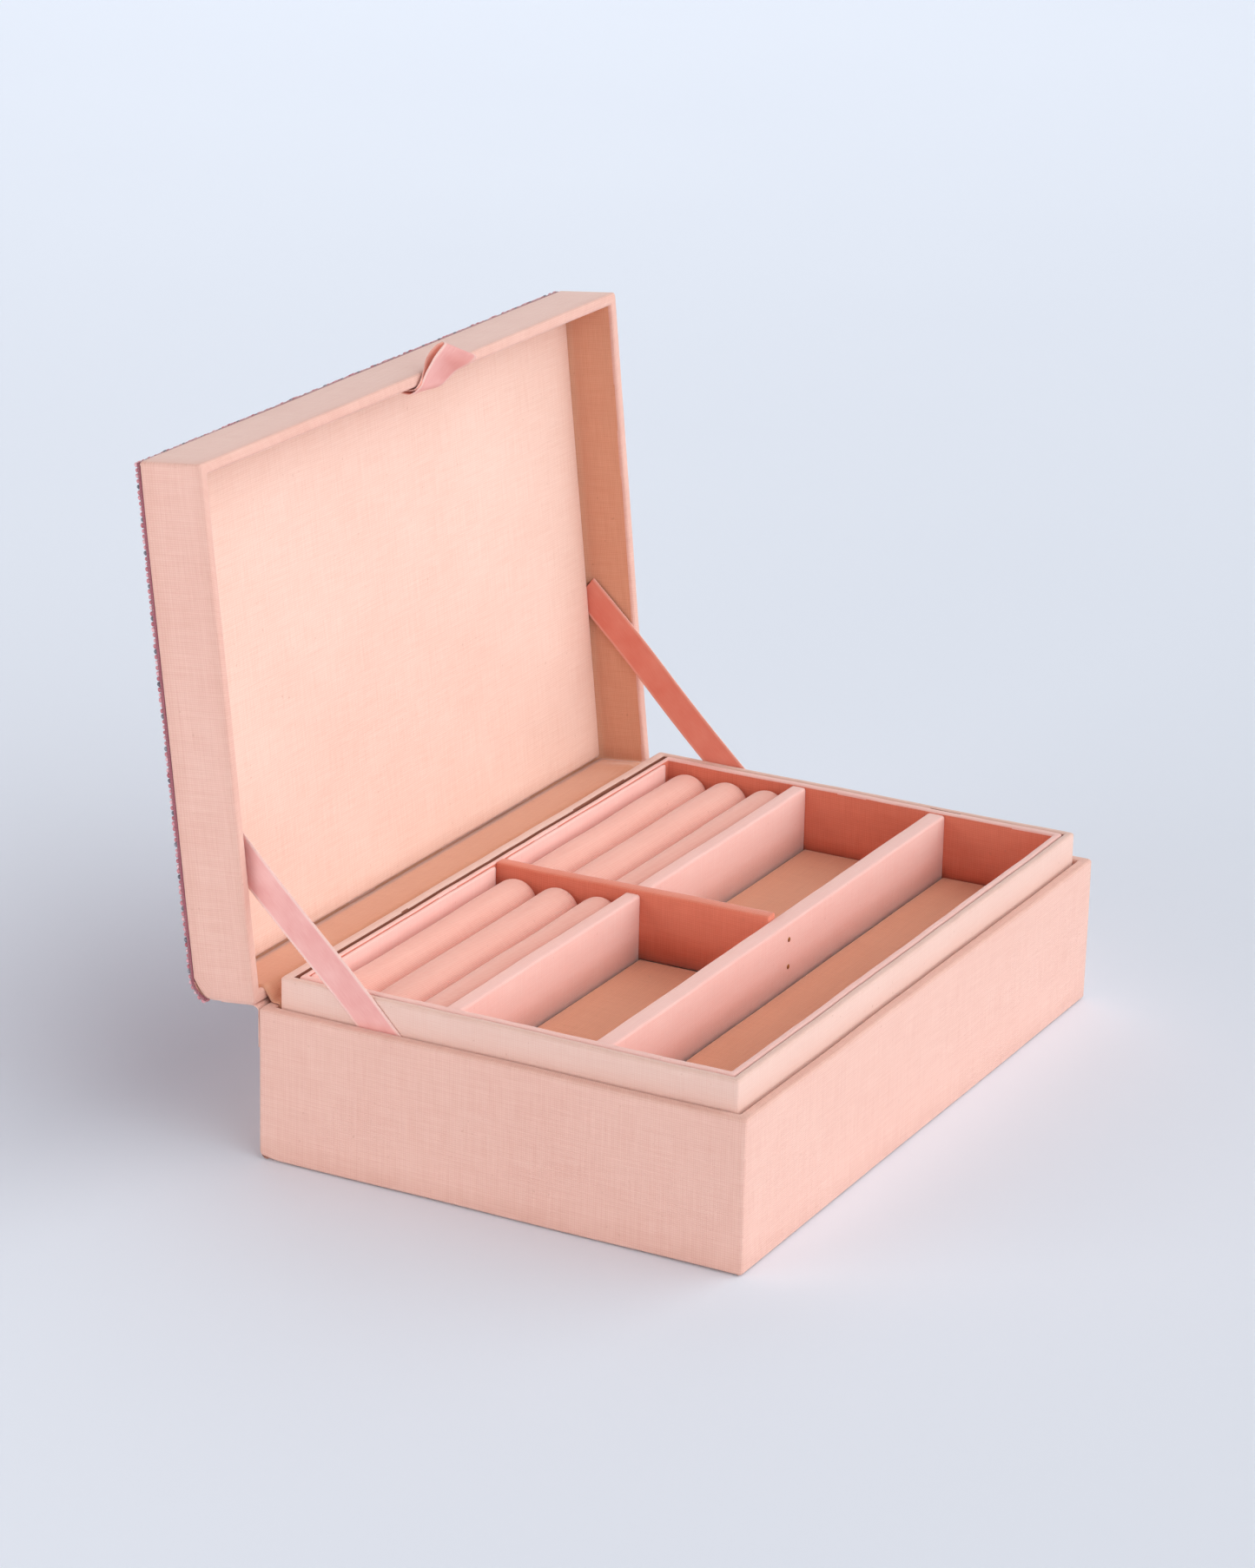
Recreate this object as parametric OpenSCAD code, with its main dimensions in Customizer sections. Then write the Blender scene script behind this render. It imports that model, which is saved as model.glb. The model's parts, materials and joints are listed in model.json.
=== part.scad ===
// Cloth-covered jewelry box, open on its ribbon stays, with a lift-out tray of ring rolls and compartments.
// Millimetres, +Z up. Origin at the middle of the base's resting face. +X along the hinge, -Y to the front.

/* [Base] */
// Width of the base, along the hinge
box_w = 230; // [190:1:300]
// Depth of the base, front to back
box_d = 150; // [125:1:200]
// Height of the base's rim above the table
base_h = 45; // [36:0.5:70]
// Thickness of a covered wall board, base and lid
wall_t = 3.5; // [2.5:0.1:4.5]
// Thickness of the base's bottom board
bottom_t = 3; // [2:0.1:5]
// Thickness of the sheet glued under the base
underside_t = 0.4; // [0.2:0.1:1]
// Thickness of the lining card on the base's floor
floor_lining_t = 1; // [0.5:0.1:2]
// Radius of the cloth-wrapped edges of a board
edge_r = 0.8; // [0.3:0.1:1.1]
// Radius of the base's lower back edge
heel_r = 2.5; // [1:0.1:3.4]

/* [Neck] */
// Thickness of the neck boards at the front and the sides
neck_t = 2.4; // [1.8:0.1:3]
// Thickness of the neck board at the back
neck_back_t = 2.8; // [1.8:0.1:3.4]
// How far the neck stands above the base's rim
neck_rise = 8.75; // [5:0.25:10]
// Gap between the neck and the front and back walls of the base
neck_end_gap = 1.1; // [0.9:0.1:2]
// Gap between the neck and the side walls of the base, which holds the ribbon
neck_side_gap = 0.5; // [0.45:0.05:1]

/* [Tray] */
// Depth of the compartments, from the neck's top to their floor
tray_depth = 20; // [16:0.5:24]
// Thickness of the tray's front wall
tray_front_t = 2; // [1.5:0.1:3]
// Thickness of the tray's back wall
tray_back_t = 1.4; // [1:0.1:2.5]
// Thickness of the tray's side walls
tray_side_t = 2.6; // [1.5:0.1:3.5]
// Thickness of the tray's floor board
tray_floor_t = 2; // [1.5:0.1:3]
// Thickness of the lining card on each compartment's floor
floor_card_t = 0.8; // [0.5:0.1:1.5]
// Play between the tray and the neck at the sides and the front
tray_play = 0.3; // [0.2:0.05:0.6]
// Play between the tray and the neck at the back
tray_back_play = 1.6; // [0.5:0.1:2]
// Thickness of the liner cards that stand behind the ring rolls
liner_t = 1.35; // [1:0.05:2]
// How far the right liner card stops short of the tray's side wall
liner_end_gap = 3.2; // [2:0.1:5]
// Thickness of the two riser boards that the tray stands on
riser_t = 2.2; // [1.5:0.1:3]

/* [Dividers] */
// Thickness of the long divider behind the front compartment
long_divider_t = 5.6; // [4:0.1:7]
// Thickness of the cross divider
cross_divider_t = 4.6; // [3.5:0.1:6]
// Thickness of the two dividers in front of the ring rolls
ring_divider_t = 4.8; // [3.5:0.1:6]
// Depth of the front compartment, front to back
front_room_d = 35.5; // [28:0.1:40]
// How far the cross divider's middle is right of the box's middle
cross_offset = 0; // [-10:0.1:10]
// How far the cross divider is tipped up at its nailed front end, in degrees
cross_tip = 0.6; // [0:0.1:1]
// How far the long and ring dividers stop below the neck's top
divider_drop = 0.5; // [0:0.1:1]
// Gap under the cross divider, where its cloth is turned in
cross_lift = 0.1; // [0:0.05:0.5]
// Radius of the two nails' shanks, through the long divider
nail_r = 0.45; // [0.3:0.05:0.6]
// Radius of the nails' heads
nail_head_r = 0.75; // [0.6:0.05:1]
// Length of the nails' shanks beyond the long divider
nail_grip = 6; // [4:0.5:9]
// Distance between the two nails
nail_spacing = 8.3; // [6:0.1:10]

/* [Ring rolls] */
// Distance from one ring roll to the next
roll_pitch = 13.95; // [10.5:0.05:17]
// How far the rolls' tops are below the neck's top
roll_drop = 2.5; // [1:0.1:4]
// Gap between a ring roll and what is beside it
roll_gap = 0.3; // [0.2:0.05:0.6]

/* [Lid] */
// How far the lid is open at rest, in degrees
open_angle = 96.2; // [90:0.1:105]
// Height of the lid, rim to top board
lid_h = 19.5; // [15:0.5:30]
// How far the lid stands out past the base on each side
lid_side_lap = 0.85; // [0.5:0.05:1.5]
// How far the closed lid stands out past the base at the front
lid_front_lap = 1.5; // [0.5:0.1:2.5]
// Distance of the hinge line behind the base and above its rim
hinge_gap = 0.6; // [0.5:0.05:1]
// Thickness of the lid's top board
lid_top_t = 3; // [2:0.1:4]
// Thickness of the padded lining card inside the lid
lining_t = 1.5; // [1:0.1:2.5]
// Gap between the lining card and the lid's walls
lining_gap = 1.4; // [1.2:0.1:2]
// Thickness of the embroidered panel on the lid
panel_t = 1.7; // [1:0.1:3]
// Radius of the lid's upper back edge
spine_r = 6; // [3:0.5:8]

/* [Ribbon and cloth] */
// Width of the satin ribbon of the stays and the tab
ribbon_w = 10; // [8:0.5:11]
// Thickness of the satin ribbon
ribbon_t = 0.34; // [0.2:0.02:0.4]
// Distance from the hinge line to a stay's foot on the base
stay_foot_reach = 36.5; // [28:0.5:45]
// Distance from the hinge line to a stay's head in the lid
stay_head_reach = 57.5; // [45:0.5:65]
// How deep a stay's foot is glued below the base's rim
stay_foot_depth = 8; // [5:0.5:12]
// How far the tab's loop stands out from the lid's rim
tab_out = 10; // [6:0.5:18]
// How far the tab's loop leans forward past the lid's front wall
tab_lean = 9; // [5:0.5:18]
// Thickness of the hinge cloth and its lining strip
cloth_t = 0.4; // [0.3:0.05:0.5]
// How far the hinge cloth is glued down on each side of the fold
hinge_cloth_lap = 12; // [8:0.5:14]
// How deep the lining strip goes behind the neck
lining_strip_depth = 9; // [6:0.5:14]
// How far the hinge cloth and the lining strip stop short at each end
strip_end_gap = 0.8; // [0.5:0.1:3]

/* [Hidden] */
$fn = 48;
// A clearance between boards that are glued edge to edge
fit = 0.05;
// Ring rolls on each side of the cross divider
rolls = 3;
// Case cloth, lining cloth, satin and embroidery
case_c = [0.93, 0.72, 0.66];
neck_c = [0.95, 0.80, 0.72];
tray_c = [0.92, 0.64, 0.57];
card_c = [0.93, 0.73, 0.62];
satin_c = [0.90, 0.58, 0.56];
panel_c = [0.66, 0.42, 0.42];
nail_c = [0.55, 0.36, 0.20];

// Base and neck
inner_x = box_w / 2 - wall_t;
inner_y = box_d / 2 - wall_t;
floor_z = underside_t + bottom_t;
neck_top = base_h + neck_rise;
neck_x = inner_x - neck_side_gap;
neck_y = inner_y - neck_end_gap;
neck_in_x = neck_x - neck_t;
neck_front_in = -neck_y + neck_t;
neck_back_in = neck_y - neck_back_t;

// Tray
room_floor = neck_top - tray_depth;
tray_bed = room_floor - floor_card_t;
tray_bottom = tray_bed - tray_floor_t;
tray_x = neck_in_x - tray_play;
tray_front = neck_front_in + tray_play;
tray_back = neck_back_in - tray_back_play;
room_x = tray_x - tray_side_t;
room_front = tray_front + tray_front_t;
room_back = tray_back - tray_back_t;
divider_top = neck_top - divider_drop;

// Ring section, from the back: liner cards, rolls, ring dividers
liner_y = room_back - liner_t;
ring_front = liner_y - rolls * roll_pitch;
ring_divider_front = ring_front - ring_divider_t;
long_divider_front = room_front + front_room_d;
long_divider_back = long_divider_front + long_divider_t;
roll_w = roll_pitch - roll_gap;
roll_top = neck_top - roll_drop;
cross_left = cross_offset - cross_divider_t / 2;
cross_right = cross_offset + cross_divider_t / 2;

// Lid, drawn closed in its own frame: y forward from the hinge line, z up from the rim
lid_x = box_w / 2 + lid_side_lap;
lid_d = box_d + hinge_gap + lid_front_lap;
lid_in_x = lid_x - wall_t;
lid_in_z = lid_h - lid_top_t;
lining_z = lid_in_z - lining_t;
lining_x = lid_in_x - lining_gap;
lining_back = wall_t + cloth_t + tray_play;
lining_front = lid_d - wall_t - lining_gap;
hinge_y = box_d / 2 + hinge_gap;
hinge_z = base_h + hinge_gap;

// A board along X with its upper long edges rounded: from x0 to x1, y0 to y1 and z0 to z1
module board_x(x0, x1, y0, y1, z0, z1, r = edge_r) {
    translate([x0, 0, 0]) rotate([90, 0, 90]) linear_extrude(x1 - x0) round_top(y0, y1, z0, z1, r);
}

// The same board along Y
module board_y(x0, x1, y0, y1, z0, z1, r = edge_r) {
    translate([0, y1, 0]) rotate([90, 0, 0]) linear_extrude(y1 - y0) round_top(x0, x1, z0, z1, r);
}

// A rectangle with two rounded upper corners, whose radius is limited by its width
module round_top(u0, u1, v0, v1, edge) {
    r = min(edge, 0.45 * (u1 - u0));
    translate([u0, v0]) square([u1 - u0, v1 - v0 - r]);
    translate([u0 + r, v0]) square([u1 - u0 - 2 * r, v1 - v0]);
    for (u = [u0 + r, u1 - r]) translate([u, v1 - r]) circle(r);
}

// Leaves a piece on the right, or mirrors it to the left
module on_side(side) {
    if (side < 0) mirror([1, 0, 0]) children();
    else children();
}

// A plain card from one corner to the other
module card(x0, x1, y0, y1, z0, z1) {
    translate([x0, y0, z0]) cube([x1 - x0, y1 - y0, z1 - z0]);
}

// ---- Base ----

module underside_sheet() {
    margin = wall_t / 2;
    color(neck_c)
        card(-box_w / 2 + margin, box_w / 2 - margin, -box_d / 2 + margin, box_d / 2 - heel_r, 0, underside_t);
}

module base_bottom_board() {
    color(card_c) card(-inner_x + fit, inner_x - fit, -inner_y + fit, inner_y - fit, underside_t, floor_z);
}

module base_front_wall() {
    color(case_c) board_x(-box_w / 2, box_w / 2, -box_d / 2, -inner_y, underside_t, base_h);
}

module base_back_wall() {
    color(case_c) intersection() {
        board_x(-box_w / 2, box_w / 2, inner_y, box_d / 2, underside_t, base_h);
        heel_envelope();
    }
}

// Everything in front of the base's rounded lower back edge
module heel_envelope() {
    centre_y = box_d / 2 - heel_r;
    translate([-box_w, 0, 0]) rotate([90, 0, 90]) linear_extrude(2 * box_w) {
        translate([0, underside_t]) square([centre_y, base_h]);
        translate([0, underside_t + heel_r]) square([box_d / 2, base_h]);
        translate([centre_y, underside_t + heel_r]) circle(heel_r);
    }
}

module base_side_wall(side) {
    on_side(side)
        board_y(inner_x, box_w / 2, -inner_y + fit, inner_y - fit, underside_t, base_h);
}

module base_left_wall() { color(case_c) base_side_wall(-1); }

module base_right_wall() { color(case_c) base_side_wall(1); }

module base_floor_lining() {
    color(card_c)
        card(-neck_in_x + fit, neck_in_x - fit, neck_front_in + fit, neck_back_in - fit,
            floor_z, floor_z + floor_lining_t);
}

// ---- Neck: four boards inside the base that the closed lid slides over ----

module neck_front_board() {
    color(neck_c) board_x(-neck_x, neck_x, -neck_y, neck_front_in, floor_z, neck_top);
}

module neck_back_board() {
    color(neck_c) board_x(-neck_x, neck_x, neck_back_in, neck_y, floor_z, neck_top);
}

module neck_side_board(side) {
    on_side(side)
        board_y(neck_in_x, neck_x, neck_front_in + fit, neck_back_in - fit, floor_z, neck_top);
}

module neck_left_board() { color(neck_c) neck_side_board(-1); }

module neck_right_board() { color(neck_c) neck_side_board(1); }

// A board that stands on the base's floor, against the neck, and carries one end of the tray
module tray_riser(side) {
    on_side(side)
        card(neck_in_x - fit - riser_t, neck_in_x - fit, neck_front_in + 2 * fit, neck_back_in - 2 * fit,
            floor_z + floor_lining_t, tray_bottom);
}

module left_tray_riser() { color(card_c) tray_riser(-1); }

module right_tray_riser() { color(card_c) tray_riser(1); }

// ---- Tray ----

module tray_floor_board() {
    color(card_c)
        card(-room_x + fit, room_x - fit, room_front + fit, room_back - fit, tray_bottom, tray_bed);
}

module tray_front_wall() {
    color(tray_c) board_x(-tray_x, tray_x, tray_front, room_front, tray_bottom, neck_top);
}

module tray_back_wall() {
    color(tray_c) board_x(-tray_x, tray_x, room_back, tray_back, tray_bottom, neck_top, edge_r / 2);
}

module tray_side_wall(side) {
    on_side(side)
        board_y(room_x, tray_x, room_front + fit, room_back - fit, tray_bottom, neck_top);
}

module tray_left_wall() { color(tray_c) tray_side_wall(-1); }

module tray_right_wall() { color(tray_c) tray_side_wall(1); }

// ---- Dividers ----

module long_divider() {
    color(tray_c) difference() {
        board_x(-room_x + fit, room_x - fit, long_divider_front, long_divider_back, tray_bed, divider_top);
        nail_places() nail_shank(nail_r + fit);
    }
}

// The cross divider runs from the tray's back wall to the long divider, tipped up at the front
module cross_divider() {
    height = neck_top - tray_bed;
    back = room_back - fit - height * sin(cross_tip);
    length = back - long_divider_back - fit;
    color(tray_c) difference() {
        translate([0, back, tray_bed + cross_lift]) rotate([-cross_tip, 0, 0])
            board_y(cross_left, cross_right, -length, 0, 0, height);
        nail_places() nail_shank(nail_r + fit);
    }
}

module ring_divider(x0, x1) {
    board_x(x0, x1, ring_divider_front, ring_front, tray_bed, divider_top);
}

module left_ring_divider() { color(tray_c) ring_divider(-room_x + fit, cross_left - fit); }

module right_ring_divider() { color(tray_c) ring_divider(cross_right + fit, room_x - fit); }

// Two nails through the long divider into the cross divider's end
module nail_places() {
    middle_z = (room_floor + divider_top) / 2 + 0.6;
    for (side = [-1, 1])
        translate([cross_offset, long_divider_front, middle_z + side * nail_spacing / 2])
            rotate([-90, 0, 0]) children();
}

module nail_shank(r) {
    translate([0, 0, -nail_r]) cylinder(h = nail_r + long_divider_t + nail_grip, r = r);
}

module divider_nails() {
    head_t = 0.3;
    color(nail_c) nail_places() {
        translate([0, 0, -head_t]) cylinder(h = head_t, r = nail_head_r);
        cylinder(h = long_divider_t + nail_grip - 2 * fit, r = nail_r);
    }
}

// ---- Floor cards and liner cards ----

module front_floor_card() {
    color(card_c)
        card(-room_x + tray_play, room_x - tray_play, room_front + tray_play, long_divider_front - tray_play,
            tray_bed, room_floor);
}

module middle_floor_card(x0, x1) {
    card(x0, x1, long_divider_back + tray_play, ring_divider_front - tray_play, tray_bed, room_floor);
}

module left_floor_card() { color(card_c) middle_floor_card(-room_x + tray_play, cross_left - tray_play); }

module right_floor_card() { color(card_c) middle_floor_card(cross_right + tray_play, room_x - tray_play); }

// The liner cards stand against the tray's back wall, one on each side of the cross divider
module liner_card(x0, x1) {
    board_x(x0, x1, liner_y, room_back - fit, tray_bed, divider_top, liner_t / 3);
}

module left_liner_card() { color(tray_c) liner_card(-room_x + tray_play, cross_left - liner_t); }

module right_liner_card() { color(tray_c) liner_card(cross_right + tray_play, room_x - liner_end_gap); }

// ---- Ring rolls: foam under cloth, with a rounded top, side by side ----

function roll_y(i) = liner_y - (i - 0.5) * roll_pitch;

module ring_roll(i, x0, x1) {
    r = roll_w / 2;
    color(tray_c) translate([x0, roll_y(i), 0]) rotate([90, 0, 90]) linear_extrude(x1 - x0) {
        translate([-r, tray_bed]) square([roll_w, roll_top - r - tray_bed]);
        translate([0, roll_top - r]) circle(r);
    }
}

module left_ring_roll(i) { ring_roll(i, -room_x + roll_gap, cross_left - roll_gap); }

module right_ring_roll(i) { ring_roll(i, cross_right + roll_gap, room_x - roll_gap); }

// ---- Lid ----

// Puts a shape drawn in the closed lid's frame (x, forward from the hinge line, up from the rim) in its open place
module on_lid() {
    translate([0, hinge_y, hinge_z]) rotate([-open_angle, 0, 0]) children();
}

// A card in the lid's frame, from x0 to x1, forward f0 to f1 and up u0 to u1
module lid_card(x0, x1, f0, f1, u0, u1) {
    translate([x0, -f1, u0]) cube([x1 - x0, f1 - f0, u1 - u0]);
}

// Everything in front of the lid's rounded upper back edge, whose outer face is at height top
module spine_envelope(top) {
    rotate([90, 0, 90]) translate([0, 0, -box_w]) linear_extrude(2 * box_w) {
        translate([-lid_d, 0]) square([lid_d, top - spine_r]);
        translate([-lid_d, 0]) square([lid_d - spine_r, top]);
        translate([-spine_r, top - spine_r]) circle(spine_r);
    }
}

module lid_top_board() {
    color(case_c) on_lid() intersection() {
        lid_card(-lid_x, lid_x, 0, lid_d, lid_in_z, lid_h);
        spine_envelope(lid_h);
    }
}

module lid_front_wall() {
    color(case_c) on_lid() lid_card(-lid_x, lid_x, lid_d - wall_t, lid_d, 0, lid_in_z);
}

module lid_back_wall() {
    color(case_c) on_lid() intersection() {
        lid_card(-lid_x, lid_x, 0, wall_t, 0, lid_in_z);
        spine_envelope(lid_h);
    }
}

module lid_side_wall(side) {
    on_lid() on_side(side)
        lid_card(lid_in_x, lid_x, wall_t + fit, lid_d - wall_t - fit, 0, lid_in_z);
}

module lid_left_wall() { color(case_c) lid_side_wall(-1); }

module lid_right_wall() { color(case_c) lid_side_wall(1); }

module lid_lining_card() {
    color(card_c) on_lid() lid_card(-lining_x, lining_x, lining_back, lining_front, lining_z, lid_in_z);
}

// The embroidered panel is glued over the top board and follows its rounded back edge
module embroidered_panel() {
    color(panel_c) on_lid() difference() {
        intersection() {
            lid_card(-lid_x, lid_x, 0, lid_d, lid_h - spine_r / 2, lid_h + panel_t);
            translate([0, 0, panel_t]) spine_envelope(lid_h);
        }
        spine_envelope(lid_h);
    }
}

// ---- Ribbon and cloth that bend when the lid moves ----

// A point of the open lid, forward f from the hinge line and up u from the rim, as [y, z]
function lid_point(f, u) = [
    hinge_y - f * cos(open_angle) + u * sin(open_angle),
    hinge_z + f * sin(open_angle) + u * cos(open_angle)
];

// The way forward in the open lid, away from the hinge line
lid_forward = [-cos(open_angle), sin(open_angle)];

// Where a line from p along d crosses the line through q with normal n
function crossing(p, d, q, n) = p + d * (((q - p) * n) / (d * n));

// A taut stay: a flat ribbon in a plane beside the neck, cut level in the base and along the lid's top board
stay_foot = [hinge_y - stay_foot_reach, base_h];
stay_head = lid_point(stay_head_reach, lining_z);
stay_dir = (stay_head - stay_foot) / norm(stay_head - stay_foot);
stay_side = [-stay_dir[1], stay_dir[0]] * ribbon_w / 2;
stay_low = [0, base_h - stay_foot_depth];
stay_high = lid_point(0, lid_in_z - fit);
lid_up = [sin(open_angle), cos(open_angle)];
stay_points = [
    crossing(stay_foot - stay_side, stay_dir, stay_low, [0, 1]),
    crossing(stay_foot + stay_side, stay_dir, stay_low, [0, 1]),
    crossing(stay_foot + stay_side, stay_dir, stay_high, lid_up),
    crossing(stay_foot - stay_side, stay_dir, stay_high, lid_up)
];

module ribbon_stay(side) {
    middle = neck_x + neck_side_gap / 2;
    on_side(side) translate([middle - ribbon_t / 2, 0, 0])
        rotate([90, 0, 90]) linear_extrude(ribbon_t) polygon(stay_points);
}

module left_ribbon_stay() { color(satin_c) ribbon_stay(-1); }

module right_ribbon_stay() { color(satin_c) ribbon_stay(1); }

// The tab is a doubled ribbon from between the lining card and the front wall, leaning out over the rim
module pull_tab() {
    root = lid_d - wall_t - 3 * fit;
    double_t = 2.4 * ribbon_t;
    color(satin_c) on_lid() translate([-ribbon_w / 2, 0, 0]) rotate([90, 0, 90]) linear_extrude(ribbon_w)
        polygon([
            [-root, lid_in_z - fit],
            [-root + double_t, lid_in_z - fit],
            [-root + double_t, -2 * double_t],
            [-root - tab_lean + double_t, -tab_out - 2 * double_t],
            [-root - tab_lean, -tab_out - double_t],
            [-root, -double_t]
        ]);
}

// The hinge cloth is glued up the base's back wall and under the open lid's back wall, folded on the hinge line
module hinge_cloth() {
    near = box_d / 2 + fit;
    fold = lid_point(-fit, 0);
    fold_under = crossing([near + cloth_t, 0], [0, 1], lid_point(-fit - cloth_t, 0), lid_forward);
    half_x = box_w / 2 - strip_end_gap;
    color(case_c) translate([-half_x, 0, 0]) rotate([90, 0, 90]) linear_extrude(2 * half_x)
        polygon([
            [near, base_h - hinge_cloth_lap],
            [near + cloth_t, base_h - hinge_cloth_lap],
            fold_under,
            lid_point(-fit - cloth_t, hinge_cloth_lap),
            lid_point(-fit, hinge_cloth_lap),
            fold,
            [near, base_h + cloth_t / 2]
        ]);
}

// The lining strip covers the inside of the hinge, from behind the neck to the lining card
module hinge_lining_strip() {
    slot_y = inner_y - (neck_end_gap + cloth_t) / 2;
    over_rim = base_h + 2 * fit;
    half_x = lining_x - strip_end_gap;
    color(card_c) translate([-half_x, 0, 0]) rotate([90, 0, 90]) linear_extrude(2 * half_x)
        polygon([
            [slot_y, base_h - lining_strip_depth],
            [slot_y + cloth_t, base_h - lining_strip_depth],
            [slot_y + cloth_t, over_rim],
            [box_d / 2 - edge_r, over_rim],
            lid_point(wall_t + fit, -fit),
            lid_point(wall_t + fit, lining_z),
            lid_point(wall_t + fit + cloth_t, lining_z),
            lid_point(wall_t + fit + cloth_t, 0),
            [box_d / 2 - edge_r - cloth_t, over_rim + 2 * cloth_t],
            [slot_y, over_rim + cloth_t]
        ]);
}

base_bottom_board();
base_front_wall();
base_back_wall();
base_left_wall();
base_right_wall();
underside_sheet();
base_floor_lining();
neck_front_board();
neck_back_board();
neck_left_board();
neck_right_board();
left_tray_riser();
right_tray_riser();
tray_floor_board();
tray_front_wall();
tray_back_wall();
tray_left_wall();
tray_right_wall();
long_divider();
cross_divider();
left_ring_divider();
right_ring_divider();
divider_nails();
front_floor_card();
left_floor_card();
right_floor_card();
left_liner_card();
right_liner_card();
left_ring_roll(1);  // left_ring_roll_1
left_ring_roll(2);  // left_ring_roll_2
left_ring_roll(3);  // left_ring_roll_3
right_ring_roll(1);  // right_ring_roll_1
right_ring_roll(2);  // right_ring_roll_2
right_ring_roll(3);  // right_ring_roll_3
lid_top_board();
lid_front_wall();
lid_back_wall();
lid_left_wall();
lid_right_wall();
lid_lining_card();
embroidered_panel();
pull_tab();
hinge_cloth();
hinge_lining_strip();
left_ribbon_stay();
right_ribbon_stay();
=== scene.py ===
import json
from math import asin, cos, hypot, pi, radians, sin, sqrt
from random import Random

import bmesh
import bpy
from mathutils import Matrix, Vector, noise


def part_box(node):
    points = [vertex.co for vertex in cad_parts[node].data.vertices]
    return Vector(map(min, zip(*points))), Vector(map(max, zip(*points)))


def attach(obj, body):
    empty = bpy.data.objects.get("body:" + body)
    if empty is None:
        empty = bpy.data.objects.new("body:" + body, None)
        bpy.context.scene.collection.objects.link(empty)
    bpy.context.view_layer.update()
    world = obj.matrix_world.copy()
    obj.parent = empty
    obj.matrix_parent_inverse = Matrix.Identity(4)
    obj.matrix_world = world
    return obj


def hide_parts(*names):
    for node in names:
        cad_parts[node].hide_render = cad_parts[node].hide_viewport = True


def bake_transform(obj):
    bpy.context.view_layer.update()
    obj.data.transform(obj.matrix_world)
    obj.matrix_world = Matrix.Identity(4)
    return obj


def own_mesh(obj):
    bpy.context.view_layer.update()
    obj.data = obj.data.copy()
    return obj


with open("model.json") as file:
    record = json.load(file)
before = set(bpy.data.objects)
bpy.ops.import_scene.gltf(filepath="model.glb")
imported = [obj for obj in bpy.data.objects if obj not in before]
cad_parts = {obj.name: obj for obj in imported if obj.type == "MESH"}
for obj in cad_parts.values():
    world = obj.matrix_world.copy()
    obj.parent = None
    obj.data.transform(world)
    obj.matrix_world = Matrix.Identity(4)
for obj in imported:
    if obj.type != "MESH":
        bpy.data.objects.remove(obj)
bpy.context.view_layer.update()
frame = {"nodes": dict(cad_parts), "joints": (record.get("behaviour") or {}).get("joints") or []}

MM = 0.001


# ---------------------------------------------------------------- Base walls
# Four greyboard walls, wrapped outside and over the rim in one length of linen-finish book cloth.
# The cloth is glued down, so it follows the boards' slight unevenness and rounds their cut edges.

def linear(code):
    """An sRGB hex colour as linear red, green and blue with alpha."""
    parts = [int(code[i:i + 2], 16) / 255 for i in (1, 3, 5)]
    return tuple(c / 12.92 if c <= 0.04045 else ((c + 0.055) / 1.055) ** 2.4 for c in parts) + (1.0,)


def add(tree, kind, links=None, **settings):
    """Adds a shader node. links maps its sockets to values or to other nodes' outputs."""
    made = tree.nodes.new("ShaderNode" + kind)
    for name, value in settings.items():
        setattr(made, name, value)
    for socket, value in (links or {}).items():
        if isinstance(value, bpy.types.NodeSocket):
            tree.links.new(value, made.inputs[socket])
        else:
            made.inputs[socket].default_value = value
    return made


def blank(name):
    """A new material with its tree emptied, as (material, tree)."""
    made = bpy.data.materials.new(name)
    made.use_nodes = True
    made.node_tree.nodes.clear()
    return made, made.node_tree


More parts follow.
